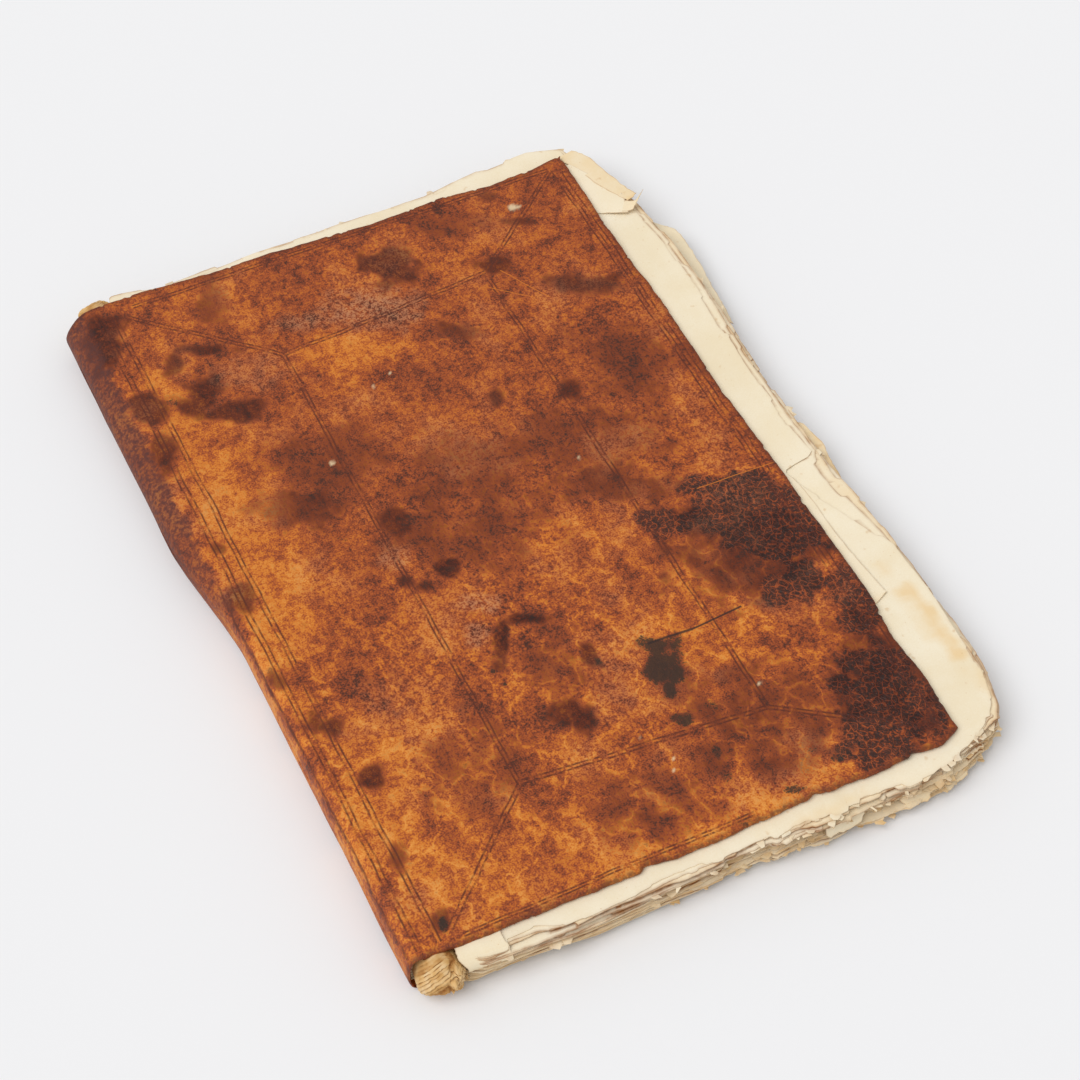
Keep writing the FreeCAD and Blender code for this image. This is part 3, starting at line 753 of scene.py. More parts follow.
def leatherSkin(name, flipped, seed):
    insideX = book["hingeX"] + cover["shoulder"]
    width = book["foreX"] - insideX
    coverColumns = int(round((width - topInset) / cover["step"])) + 1
    rows = int(round((book["height"] - 2 * topInset) / cover["step"])) + 1
    turns = np.linspace(0.0, math.pi / 2, cover["spineColumns"])
    columns = len(turns) + coverColumns - 1
    hingeColumn = len(turns) - 1
    rowY = np.linspace(book["tailY"] + topInset, book["headY"] - topInset, rows)
    coverX = np.linspace(insideX, book["foreX"] - topInset, coverColumns)
    x = np.zeros((rows, columns))
    z = np.zeros((rows, columns))
    spineX, spineZ = spineSection(rowY[:, None], np.minimum(turns, math.pi / 2 - 1e-6)[None, :])
    x[:, :hingeColumn + 1] = spineX
    z[:, :hingeColumn + 1] = spineZ
    x[:, hingeColumn:] = coverX
    z[:, hingeColumn:] = book["thickness"]
    y = np.repeat(rowY[:, None], columns, axis=1)

    # worn outline
    shareX = np.clip((x - book["hingeX"]) / book["coverWidth"], 0.0, 1.0)
    shareY = (y - book["tailY"]) / book["height"]
    tailOut = alongEdge(leatherTail, shareX) * cover["wear"] + 0.35 * rough(x / 11, 0.3 + z / 30, seed)
    headOut = alongEdge(leatherHead, shareX) * cover["wear"] + 0.35 * rough(x / 11, 7.3 + z / 30, seed)
    foreOut = alongEdge(leatherFore, shareY) * cover["wear"] + 0.3 * rough(3.1, y / 13, seed)
    headOut = headOut * ease(book["hingeX"] - 12, book["hingeX"] + 8, x)
    nearTail = 1 - ease(0, cover["fadeIn"], y - book["tailY"])
    nearHead = 1 - ease(0, cover["fadeIn"], book["headY"] - y)
    nearFore = 1 - ease(0, cover["fadeIn"], book["foreX"] - x)
    torn = rough(x / 3.4, y / 3.4, seed + 20, 3)
    nibble = 0.35 * torn - 1.3 * ease(0.62, 1.0, torn)
    atTail = 1 - ease(0, cover["nibbleReach"], y - book["tailY"])
    atHead = 1 - ease(0, cover["nibbleReach"], book["headY"] - y)
    atFore = 1 - ease(0, cover["nibbleReach"], book["foreX"] - x)
    outX = x + foreOut * nearFore + nibble * atFore
    outY = y - (tailOut * nearTail + nibble * atTail) + headOut * nearHead + nibble * atHead

    # gentle cockling, with the thin edges curling a little
    lift = cover["cockle"] * lumps(x / 62, y / 80, seed + 1)
    lift = lift + cover["ripple"] * rough(x / 16, y / 24, seed + 2, 3)
    curl = cover["curl"] * ease(-0.1, 0.8, rough(x / 30, y / 34, seed + 3, 2))
    curled = np.maximum(nearTail * ease(cover["fadeIn"], 0, y - book["tailY"]), nearFore)
    lift = lift + curl * np.maximum(curled, nearHead)
    if flipped:
        lift = -cover["sag"] * ease(-0.6, 0.6, lift)
    onCover = ease(insideX - 9, insideX + 4, x)
    slopeX = np.gradient(x, axis=1)
    slopeZ = np.gradient(z, axis=1)
    size = np.hypot(slopeX, slopeZ)
    normalX = -slopeZ / size
    normalZ = slopeX / size
    normalX[:, hingeColumn:] = 0.0
    normalZ[:, hingeColumn:] = 1.0
    crease = cover["crease"] * rough(x / 12 + z / 9, y / 30, seed + 4, 3) * (1 - onCover)
    raised = lift * onCover + crease
    topX = outX + normalX * raised
    topZ = z + normalZ * raised

    points = []
    fromEdge = []       # of every point, how far it is from the worn edge

    def addPoints(px, py, pz, away):
        first = len(points)
        points.extend(zip(np.ravel(px), np.ravel(py), np.ravel(pz)))
        fromEdge.extend(np.ravel(np.broadcast_to(away, np.shape(px))))
        return first + np.arange(np.size(px)).reshape(np.shape(px))

    def inward(px, py, inset):  # the whole outline drawn in by inset, from the top's own edge
        inset = inset - topInset
        newX = np.where(px > insideX, insideX + (px - insideX) * (width - inset) / width, px)
        newY = py * (book["height"] / 2 - inset) / (book["height"] / 2)
        return newX, newY

    away = np.minimum(np.minimum(outY - outY[:1], outY[-1:] - outY), outX[:, -1:] - outX)
    top = addPoints(topX, outY, topZ, away)
    innerY = outY[:, :hingeColumn + 1].copy()
    ends = np.array([0, rows - 1])
    innerY[ends] = inward(outX[ends, :hingeColumn + 1], innerY[ends], 1.0)[1]
    depth = cover["skin"]
    inner = addPoints((x - normalX * depth)[:, :hingeColumn + 1], innerY,
                      (z - normalZ * depth)[:, :hingeColumn + 1], 9.0)

    # outline of the cover from the hinge strip along the tail, up the fore-edge and back at the head
    loopRow = np.concatenate([np.zeros(columns - hingeColumn, int), np.arange(1, rows - 1),
                              np.full(columns - hingeColumn, rows - 1)])
    loopColumn = np.concatenate([np.arange(hingeColumn, columns), np.full(rows - 2, columns - 1),
                                 np.arange(columns - 1, hingeColumn - 1, -1)])
    rings = [top[loopRow, loopColumn]]
    stripRings = [[top[end, :hingeColumn + 1]] for end in ends]
    for number, (inset, down, liftShare) in enumerate(coverRings):
        ringX, ringY = inward(outX[loopRow, loopColumn], outY[loopRow, loopColumn], inset)
        if inset == turnIn:
            ragged = cover["turnInWander"] * (1 + lumps(ringX / 14, ringY / 14, seed + 9)) * 0.5
            ringX, ringY = inward(outX[loopRow, loopColumn], outY[loopRow, loopColumn], inset + ragged)
        ringZ = book["thickness"] - down + (raised[loopRow, loopColumn] * liftShare)
        ring = addPoints(ringX, ringY, ringZ, inset)
        if number < hingeRings:
            for index, end in enumerate(ends):
                stripX = (topX - normalX * down)[end, :hingeColumn]
                stripZ = (topZ - normalZ * down)[end, :hingeColumn]
                stripY = inward(outX[end, :hingeColumn], outY[end, :hingeColumn], inset)[1]
                shared = ring[0] if index == 0 else ring[-1]
                strip = addPoints(stripX, stripY, stripZ, inset)
                stripRings[index].append(np.append(strip, shared))
        if number == len(coverRings) - 1:
            ring[0] = inner[0, hingeColumn]
            ring[-1] = inner[-1, hingeColumn]
        rings.append(ring)
    for index, end in enumerate(ends):
        stripRings[index].append(inner[end])

    faces = []
    for row in range(rows - 1):
        addStrip(faces, top[row], top[row + 1])
        addStrip(faces, inner[row], inner[row + 1])
    for first, second in zip(rings[:-1], rings[1:]):
        addStrip(faces, first, second)
    for strips in stripRings:
        for first, second in zip(strips[:-1], strips[1:]):
            addStrip(faces, first, second)
        faces.append([int(strip[0]) for strip in strips])
    addStrip(faces, top[:, 0], inner[:, 0])
    for end in (0, -1):
        faces.append([int(ring[end]) for ring in rings[hingeRings:]])
    floorLoop = [int(index) for index in rings[-1]]
    floorLoop += [int(index) for index in inner[rows - 2:0:-1, hingeColumn]]
    faces.append(floorLoop)

    used = sorted({index for face in faces for index in face})
    renumber = {old: new for new, old in enumerate(used)}
    faces = [[renumber[index] for index in face] for face in faces]
    points = np.array(points)[used]
    if flipped:
        points[:, 2] = book["thickness"] - points[:, 2]
    piece = makeMesh(name, points, faces, leather)
    markSkin(piece, points, np.array(fromEdge)[used], flipped, seed)
    return piece


frontSkin = leatherSkin("front_skin", False, 11)
backSkin = leatherSkin("back_skin", True, 67)
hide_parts("front_leather", "spine_leather")
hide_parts("back_leather")
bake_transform(frontSkin, "text_block", "front_cover", start=(-0.139, 0.0, 0.0225), end=(-0.1335, 0.0, 0.0250))
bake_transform(backSkin, "text_block", "back_cover", start=(-0.139, 0.0, 0.0021), end=(-0.1335, 0.0, -0.0004))
print("leather skins made,", len(frontSkin.data.polygons), "faces on the front one")


# The leaves

leaves = {
    "gatherings": 8,
    "leavesEach": 3,        # each stands for a few of the real leaves
    "spacing": 1.3,         # of the points along a torn edge
    "spineX": -137.0,
    "foreReach": 28.5,      # how far the leaves stand out beyond the cover
    "tailReach": 10.5,
    "headReach": 8.0,
    "wear": 8.0,
    "thick": 0.42,          # at the torn edges
    "innerThick": 0.30,
    "creaseX": -115.0,      # the leaves start here, right of the rolled guard
    "lowCreaseX": -121.0,
    "headCreaseX": -122.0,
    "tailPinch": 12.5,      # how far they are drawn in beside the guards
    "headPinch": 11.5,
    "besidePinch": 2.2,
    "fineWander": 0.16,
    "cornerRadius": 6.0,    # of the rectangle that the inner loops draw in towards
    "softened": 0.04,       # share of the edge's own shape that they keep
    "seed": 400,
}
# Paper broken away along each edge: how many pieces, and how deep the deepest is
smallChips = (26, 2.0)
largeChips = (16, 5.5)
sharedChips = (34, 3.2)
leafTail = ((0.0, -0.3), (0.1, 0.0), (0.26, 0.2), (0.42, 0.1), (0.6, 0.2), (0.74, 0.3), (0.86, 0.4),
            (0.94, 0.2), (1.0, -0.4))
leafFore = ((0.0, -3.0), (0.012, -1.4), (0.035, -0.6), (0.08, 0.1), (0.18, 0.45), (0.29, 0.25),
            (0.39, -0.25), (0.56, -0.3), (0.63, -0.1), (0.7, 0.0), (0.8, 0.0), (0.875, -0.4),
            (0.94, -1.5), (1.0, -2.75))
leafHead = ((0.0, 0.4), (0.07, 0.5), (0.16, -0.1), (0.28, 0.1), (0.42, 0.05), (0.56, 0.2), (0.7, 0.25),
            (0.82, 0.75), (0.93, 1.0), (1.0, 0.25))
innerLoops = (0.0, 0.5, 1.3, 3.0, 22.0)      # loops of each leaf, in from its edge
outerLoops = (0.0, 0.6, 1.6, 3.5, 7.0, 12.0, 18.0, 26.0, 36.0)      # and of the outermost leaves
# How far the top leaves fall short along the fore-edge: place from tail to head, millimetres
topShort = ((-218, 3.0), (-100, 3.5), (-39, 24.0), (-36.5, 22.0), (-34.5, 9.0), (-32, 5.0), (60, 4.5),
            (64, 5.5), (150, 5.5), (200, 4.0), (225, 3.0))
nextShort = ((-218, 2.6), (-168, 3.0), (-164, 6.5), (-140, 5.5), (-103, 5.0), (-100, 3.6), (-60, 6.8),
             (-36, 5.5), (-32, 3.0), (26, 1.6), (110, 2.0), (114, 3.0), (170, 2.0), (225, 1.0))
thirdShort = ((-218, 0.8), (-164, 1.5), (-160, 3.6), (-104, 3.4), (-100, 1.5), (10, 0.2), (14, 1.2),
              (90, 1.0), (225, 0.2))
# Brown water stains on the leaves near the tail: centre, one half axis, the other, strength
leafStains = ((158, -150, 5, 2, -2, 34, 0.75), (152, -116, 4, 0, 0, 10, 0.4), (164, -190, 5, 0, 0, 16, 0.5),
              (150, 190, 8, -3, 2, 10, 0.35), (60, -219, 30, 0, 0, 4, 0.35))


def blockOutline():
    tailBase = book["tailY"] - leaves["tailReach"]
    headBase = book["headY"] + leaves["headReach"]
    foreBase = book["foreX"] + leaves["foreReach"]
    wear = leaves["wear"]
    tailEnd = foreBase + leafFore[0][1] * wear
    headEnd = foreBase + leafFore[-1][1] * wear
    tailShare = np.linspace(0, 1, 300)
    tailX = leaves["spineX"] + tailShare * (tailEnd - leaves["spineX"])
    tailLine = np.stack([tailX, tailBase - alongEdge(leafTail, tailShare) * wear], 1)
    headShare = np.linspace(1, 0, 300)
    headX = leaves["spineX"] + headShare * (headEnd - leaves["spineX"])
    headLine = np.stack([headX, headBase + alongEdge(leafHead, headShare) * wear], 1)
    foreShare = np.linspace(0, 1, 300)[1:-1]
    foreY = tailLine[-1, 1] + foreShare * (headLine[0, 1] - tailLine[-1, 1])
    foreLine = np.stack([foreBase + alongEdge(leafFore, foreShare) * wear, foreY], 1)
    line = np.concatenate([tailLine, foreLine, headLine])
    steps = np.hypot(*np.diff(line, axis=0).T)
    along = np.concatenate([[0], np.cumsum(steps)])
    count = int(along[-1] / leaves["spacing"])
    even = np.linspace(0, along[-1], count)
    line = np.stack([np.interp(even, along, line[:, 0]), np.interp(even, along, line[:, 1])], 1)
    reach = 8
    kernel = np.hanning(2 * reach + 1)
    kernel = kernel / kernel.sum()
    padded = np.concatenate([np.repeat(line[:1], reach, 0), line, np.repeat(line[-1:], reach, 0)])
    smooth = np.stack([np.convolve(padded[:, axis], kernel, "valid") for axis in (0, 1)], 1)
    tangent = np.gradient(smooth, axis=0)
    tangent = tangent / np.hypot(*tangent.T)[:, None]
    normal = np.stack([tangent[:, 1], -tangent[:, 0]], 1)
    normal[0] = (0, -1)
    normal[-1] = (0, 1)
    return line, normal, even


outline, outward, run = blockOutline()
atTail = ease(0.3, 0.9, -outward[:, 1])
atHead = ease(0.3, 0.9, outward[:, 1])
atFore = ease(0.3, 0.9, outward[:, 0])
rightTail = atTail * ease(-40, 60, outline[:, 0])
leafCount = leaves["gatherings"] * leaves["leavesEach"]


def chips(seed, count, deepest):  # paper broken away in straight-sided pieces
    shuffled = np.random.RandomState(seed)
    bite = np.zeros(len(run))
    for _ in range(count):
        middle = shuffled.uniform(0, run[-1])
        half = shuffled.uniform(2.0, 19.0)
        deep = deepest * shuffled.uniform(0.15, 1.0) ** 1.6
        slope = shuffled.uniform(-0.07, 0.07)
        inside = ease(half + 1.0, half, np.abs(run - middle))
        bite = np.maximum(bite, inside * np.maximum(deep + slope * (run - middle), 0))
    return bite


def leafSpacing():
    gaps = []
    for number in range(leafCount + 1):
        if number % leaves["leavesEach"]:
            gap = 0.10 + 0.30 * ease(0.1, 1.0, lumps(run / 33.0, number * 3.7, leaves["seed"] + 1))
        else:
            gap = 0.85 + 1.8 * ease(-0.3, 0.9, lumps(run / 45.0, number * 1.9, leaves["seed"] + 3))
        gaps.append(gap)
    gaps = np.array(gaps)
    return gaps / gaps.sum(axis=0)


def leafEdge(number):
    seed = leaves["seed"] + 10 * number
    gathering = number // leaves["leavesEach"]
    upper = number / (leafCount - 1)
    fromTop = leafCount - 1 - number
    shared = lumps(run / 70.0, gathering * 2.3, 391) + 0.5 * rough(run / 28.0, gathering * 3.1, 392, 2)
    own = rough(run / 21.0, number * 2.3, seed + 1, 3)
    fine = leaves["fineWander"] * rough(run / 3.4, number * 1.7, seed + 3, 3)
    bite = chips(seed + 5, *smallChips)
    bite = bite + chips(seed + 6, *largeChips) * np.maximum(rightTail, 0.35 * atHead)
    bite = bite + chips(900, *sharedChips) * rightTail
    fine = fine * (1 + 1.6 * rightTail)
    out = shared * (1.0 + 1.2 * rightTail) + own * (0.35 + 0.6 * rightTail) + fine - bite
    out = out - 0.5 * (number % leaves["leavesEach"] != 1) * (1 - rightTail) * (1 - upper)
    short = {0: topShort, 1: nextShort, 2: thirdShort}.get(fromTop)
    if short:
        out = np.clip(out, -3.4, 0.6) - alongEdge(short, outline[:, 1]) * atFore
        out = out - (1.2 - 0.5 * fromTop) * atTail - 0.8 * (fromTop == 0) * atHead
        hollow = ease(-97, -95.5, outline[:, 0]) * ease(-70, -84, outline[:, 0])
        out = out - (5.0 - 1.4 * fromTop) * hollow * atTail
    lowest = 1 - ease(0.0, 0.35, upper)
    sunk = ease(-0.2, 0.6, lumps(run / 55.0, 9.4, 79))
    out = out - lowest * (1.6 * atFore + 2.2 * atTail * sunk)
    # at both ends of the spine the leaves are drawn in beside and under the rolled guards
    crease = leaves["lowCreaseX"] + (leaves["creaseX"] - leaves["lowCreaseX"]) * ease(0.0, 0.45, upper)
    tailPinch = atTail * ease(crease + 2.0, crease - 1.0, outline[:, 0])
    headPinch = atHead * ease(leaves["headCreaseX"] + 2.5, leaves["headCreaseX"] - 1.5, outline[:, 0])
    near = atTail * ease(crease + 9.0, crease + 1.0, outline[:, 0])
    out = out - leaves["besidePinch"] * near * (1 - tailPinch)
    out = out * (1 - tailPinch) * (1 - headPinch)
    return out - leaves["tailPinch"] * tailPinch - leaves["headPinch"] * headPinch


def leafMesh(number, gaps, reaches, edges, points, faces, rims, ages):
    fromTop = leafCount - 1 - number
    upper = number / (leafCount - 1)
    flatStep = (book["blockHigh"] - book["blockLow"]) / leafCount
    flatZ = book["blockLow"] + flatStep * (number + 0.5) + 0.16
    highEdge = book["blockHigh"] + 0.25 + 0.9 * atFore * ease(0.0, 0.7, lumps(run / 90.0, 2.2, 77))
    lowEdge = book["blockLow"] - 0.6 - 1.2 * atTail * ease(-0.3, 0.7, lumps(run / 70.0, 5.2, 78))
    free = highEdge - lowEdge - leafCount * leaves["thick"]
    edgeZ = lowEdge + gaps[:number + 1].sum(axis=0) * free + leaves["thick"] * (number + 0.5)
    out = reaches[number]
    covered = out - reaches[min(number + 1, leafCount - 1)]     # the leaf above starts this far in
    # how strongly a leaf is browned where the leaf above covers it: some grime, mostly painted shade
    grimeAndShade = 1.0 if number % leaves["leavesEach"] == leaves["leavesEach"] - 1 else 0.3
    grimeAndShade = np.maximum(grimeAndShade, atFore) * (fromTop > 0)
    loopInsets = outerLoops if fromTop < 3 else innerLoops
    shuffled = np.random.RandomState(leaves["seed"] + number)
    inGathering = number % leaves["leavesEach"]
    tone = shuffled.uniform(-0.12, 0.12) - 0.16 * (inGathering - 1)
    brown = shuffled.uniform(0.05, 0.25) + 0.60 * (0 < fromTop < 9)
    # the underside of each gathering's lowest leaf is browner: real browning plus painted shade in the gap
    # below it
    lowBrown = min(1.0, brown + 0.05 + 0.45 * (inGathering == 0))
    edges.append(np.column_stack([outline + outward * out[:, None], edgeZ]))
    topLoops = []
    lowLoops = []
    # the loops draw in towards a rectangle with rounded corners, so that none crosses itself
    last = loopInsets[-1]
    bend = leaves["cornerRadius"]
    innerX = np.minimum(outline[:, 0], book["foreX"] + leaves["foreReach"] - last - bend - 4.0)
    innerY = np.clip(outline[:, 1], book["tailY"] - leaves["tailReach"] + last + bend,
                     book["headY"] + leaves["headReach"] - last - bend)
    inner = np.column_stack([innerX, innerY])
    target = inner + leaves["softened"] * (outline - inner) + bend * outward
    start = outline + outward * out[:, None]
    for inset in loopInsets:
        line = start + (target - start) * inset / last
        line[:, 0] = np.maximum(line[:, 0], leaves["spineX"])
        line[0, 0] = leaves["spineX"]
        line[-1, 0] = leaves["spineX"]
        fan = np.maximum(ease(24.0, 2.0, inset) * atFore, ease(9.0, 0.0, inset) * (1 - atFore))
        z = flatZ + (edgeZ - flatZ) * fan
        halfThick = 0.5 * (leaves["innerThick"] + (leaves["thick"] - leaves["innerThick"]) * fan)
        zone = (1 - ease(0.5, 0.95, upper)) * (0.24 + 0.08 * atTail * (1 - rightTail))
        age = np.maximum(zone + 0.10 + tone, 0.02) * ease(16.0, 0.0, inset)
        if fromTop < 3:
            age = np.maximum(age, 0.7 * ovals(line[:, 0], line[:, 1], leafStains, 95, 0.5))
        rim = max(0.0, 1.0 - inset / 1.0)
        for loops, side in ((topLoops, 1.0), (lowLoops, -1.0)):
            first = len(points)
            points.extend(zip(line[:, 0], line[:, 1], z + side * halfThick))
            loops.append(first + np.arange(len(line)))
            # painted shade with some grime: the top face is browned where the leaf above covers it, less on
            # the edge face itself
            shade = grimeAndShade * ease(-0.5, 0.3, inset - covered) * (covered < 7) if side > 0 else 0.0
            shade = shade * (1.0 if inset else 0.35)
            rims.extend(np.maximum(np.full(len(line), rim * (brown if side > 0 else lowBrown)), shade))
            ages.extend(age * np.ones(len(line)))

    for loops in (topLoops, lowLoops):
        for first, second in zip(loops[:-1], loops[1:]):
            addStrip(faces, first, second)
        faces.append([int(index) for index in loops[-1]])
    addStrip(faces, topLoops[0], lowLoops[0])
    back = [int(loop[0]) for loop in topLoops] + [int(loop[-1]) for loop in reversed(topLoops)]
    back += [int(loop[-1]) for loop in lowLoops] + [int(loop[0]) for loop in reversed(lowLoops)]
    faces.append(back)


def paperPiece(piece):  # every piece of paper belongs to the block of leaves
    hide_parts("text_block")
    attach(piece, "text_block")


gaps = leafSpacing()
reaches = [leafEdge(number) for number in range(leafCount)]
leafEdges = []
for gathering in range(leaves["gatherings"]):
    points, faces, rims, ages = [], [], [], []
    for inside in range(leaves["leavesEach"]):
        leafMesh(gathering * leaves["leavesEach"] + inside, gaps, reaches, leafEdges, points, faces,
                 rims, ages)
    piece = makeMesh("gathering_" + str(gathering + 1), np.array(points), faces, leafPaper, 40.0)
    setNumbers(piece, "rim", rims)
    setNumbers(piece, "agedAndShaded", ages)
    paperPiece(piece)
print("leaves made,", leafCount, "of them")


# Frayed shreds along the torn edges, set along each leaf's edge by a node tree

fray = {
    "spacing": 4.4,
    "shred": 2.6,
    "thickness": 0.10,
    "share": 0.40,
    "seed": 5,
    "tilt": 0.10,
    "turn": 6.28,
    "smallest": (0.3, 0.4, 0.8),        # scale across, along and through a shred
    "largest": (1.4, 1.3, 1.2),
    "raggedness": 300.0,                # scale of the noise that tears a shred's outline
    "raggedBy": (0.006, 0.006, 0.0005),
}


def frayTree():
    inputs = [("Edges", "NodeSocketGeometry", None), ("Spacing", "NodeSocketFloat", 0.002),
              ("Shred", "NodeSocketFloat", 0.001), ("Thickness", "NodeSocketFloat", 0.0002),
              ("Share", "NodeSocketFloat", 0.5), ("Seed", "NodeSocketInt", 0),
              ("Paper", "NodeSocketMaterial", None)]
    tree, given, result = newGroup("frayedEdges", inputs, [("Shreds", "NodeSocketGeometry")],
                                   "GeometryNodeTree")
    tree.is_modifier = True
    curve = place(tree, "GeometryNodeMeshToCurve", {0: given["Edges"]}).outputs[0]
    spots = place(tree, "GeometryNodeCurveToPoints", {0: curve, "Length": given["Spacing"]},
                  mode="LENGTH").outputs
    torn = place(tree, "GeometryNodeInputNamedAttribute", {"Name": "torn"},
                 data_type="FLOAT").outputs["Attribute"]
    chance = place(tree, "FunctionNodeRandomValue", {2: 0.0, 3: 1.0, 8: given["Seed"]},
                   data_type="FLOAT").outputs[1]
    chosen = sums(tree, "LESS_THAN", chance, sums(tree, "MULTIPLY", torn, given["Share"]))
    turns = {0: (-fray["tilt"], -fray["tilt"], 0.0), 1: (fray["tilt"], fray["tilt"], fray["turn"]),
             8: sums(tree, "ADD", given["Seed"], 1.0)}
    turn = place(tree, "FunctionNodeRandomValue", turns, data_type="FLOAT_VECTOR").outputs[0]
    scales = {0: fray["smallest"], 1: fray["largest"], 8: sums(tree, "ADD", given["Seed"], 2.0)}
    size = place(tree, "FunctionNodeRandomValue", scales, data_type="FLOAT_VECTOR").outputs[0]
    shred = place(tree, "GeometryNodeMeshCone", {
        "Vertices": 7, "Radius Top": sums(tree, "MULTIPLY", given["Shred"], 0.96),
        "Radius Bottom": given["Shred"], "Depth": given["Thickness"]}, fill_type="NGON").outputs[0]
    shreds = place(tree, "GeometryNodeInstanceOnPoints", {
        "Points": spots["Points"], "Selection": chosen, "Instance": shred, "Rotation": turn,
        "Scale": size}).outputs[0]
    shreds = place(tree, "GeometryNodeRealizeInstances", {0: shreds}).outputs[0]
    where = place(tree, "GeometryNodeInputPosition").outputs[0]
    noise = place(tree, "ShaderNodeTexNoise", {"Vector": where, "Scale": fray["raggedness"],
                                               "Detail": 1.0}).outputs["Color"]
    offset = vectors(tree, "SUBTRACT", noise, (0.5, 0.5, 0.5))[0]
    offset = stretch(tree, offset, fray["raggedBy"])
    shreds = place(tree, "GeometryNodeSetPosition", {
        "Geometry": shreds, "Offset": offset}).outputs[0]
    shreds = place(tree, "GeometryNodeSetMaterial", {
        "Geometry": shreds, "Material": given["Paper"]}).outputs[0]
    tree.links.new(shreds, result["Shreds"])
    return tree


def frayedEdges():
    points = []
    lines = []
    torn = []
    for number, edge in enumerate(leafEdges):
        fromTop = leafCount - 1 - number
        amount = 0.06 * atTail + 0.80 * rightTail + 0.20 * atHead + 0.14 * atFore * (fromTop > 0)
        amount = amount * ease(-0.5, 0.6, lumps(run / 14.0, number * 1.3, 871))
        amount = amount * ease(leaves["creaseX"] + 6, leaves["creaseX"] + 20, edge[:, 0])
        first = len(points)
        points.extend(edge)
        torn.extend(amount)
        lines.extend((first + step, first + step + 1) for step in range(len(edge) - 1))
    mesh = bpy.data.meshes.new("leafEdges")
    mesh.from_pydata([tuple(point) for point in np.array(points) * mm], lines, [])
    path = bpy.data.objects.new("leafEdges", mesh)
    bpy.context.scene.collection.objects.link(path)
    setNumbers(path, "torn", torn)
    tree = frayTree()
    modifier = path.modifiers.new("frayedEdges", "NODES")
    modifier.node_group = tree
    wanted = {"Spacing": fray["spacing"] * mm, "Shred": fray["shred"] * mm, "Share": fray["share"],
              "Thickness": fray["thickness"] * mm, "Seed": fray["seed"], "Paper": leafPaper}
    for item in tree.interface.items_tree:
        if item.name in wanted:
            modifier[item.identifier] = wanted[item.name]
    path.update_tag()
    shown = path.evaluated_get(bpy.context.evaluated_depsgraph_get())
    mesh = bpy.data.meshes.new_from_object(shown)
    bpy.data.objects.remove(path)
    for attribute in list(mesh.attributes):
        if attribute.name == "torn":
            mesh.attributes.remove(attribute)
    mesh.set_sharp_from_angle(angle=math.radians(40))
    piece = bpy.data.objects.new("frayed_edges", mesh)
    bpy.context.scene.collection.objects.link(piece)
    count = len(mesh.vertices)
    spread = np.empty(count * 3)
    mesh.vertices.foreach_get("co", spread)
    x, y, z = spread.reshape(-1, 3).T / mm
    low = ease(20.0, 6.0, z)
    setNumbers(piece, "rim", 0.12 + 0.25 * ease(0.0, 0.8, lumps(x / 2.0, y / 2.0 + z, 881)))
    setNumbers(piece, "agedAndShaded", 0.15 + 0.5 * low + 0.3 * lumps(x / 5.0 + z, y / 5.0, 883))
    paperPiece(piece)
    return count


print("frayed edges made,", frayedEdges(), "points")


# The rolled guards that stand out at both ends of the spine

guard = {
    "tailX": -126.2,
    "headX": -129.5,
    "radius": 11.0,
    "tailEnd": -222.0,
    "tailRoot": -206.0,
    "headEnd": 225.0,
    "headRoot": 207.0,
    "around": 250,
    "along": 92,
    "sheets": 0.62,     # leaf edges to a millimetre
    "straight": 0.25,   # share of the roll before its dome
    "stands": 0.8,      # how far single edges stand out at the end
    "grooved": 2.4,     # how deep the grooves between them are
    "crushed": 3.0,     # how far they are crushed
    "sideStands": 0.5,  # and the same round the side
    "sideGrooved": 1.1,
}


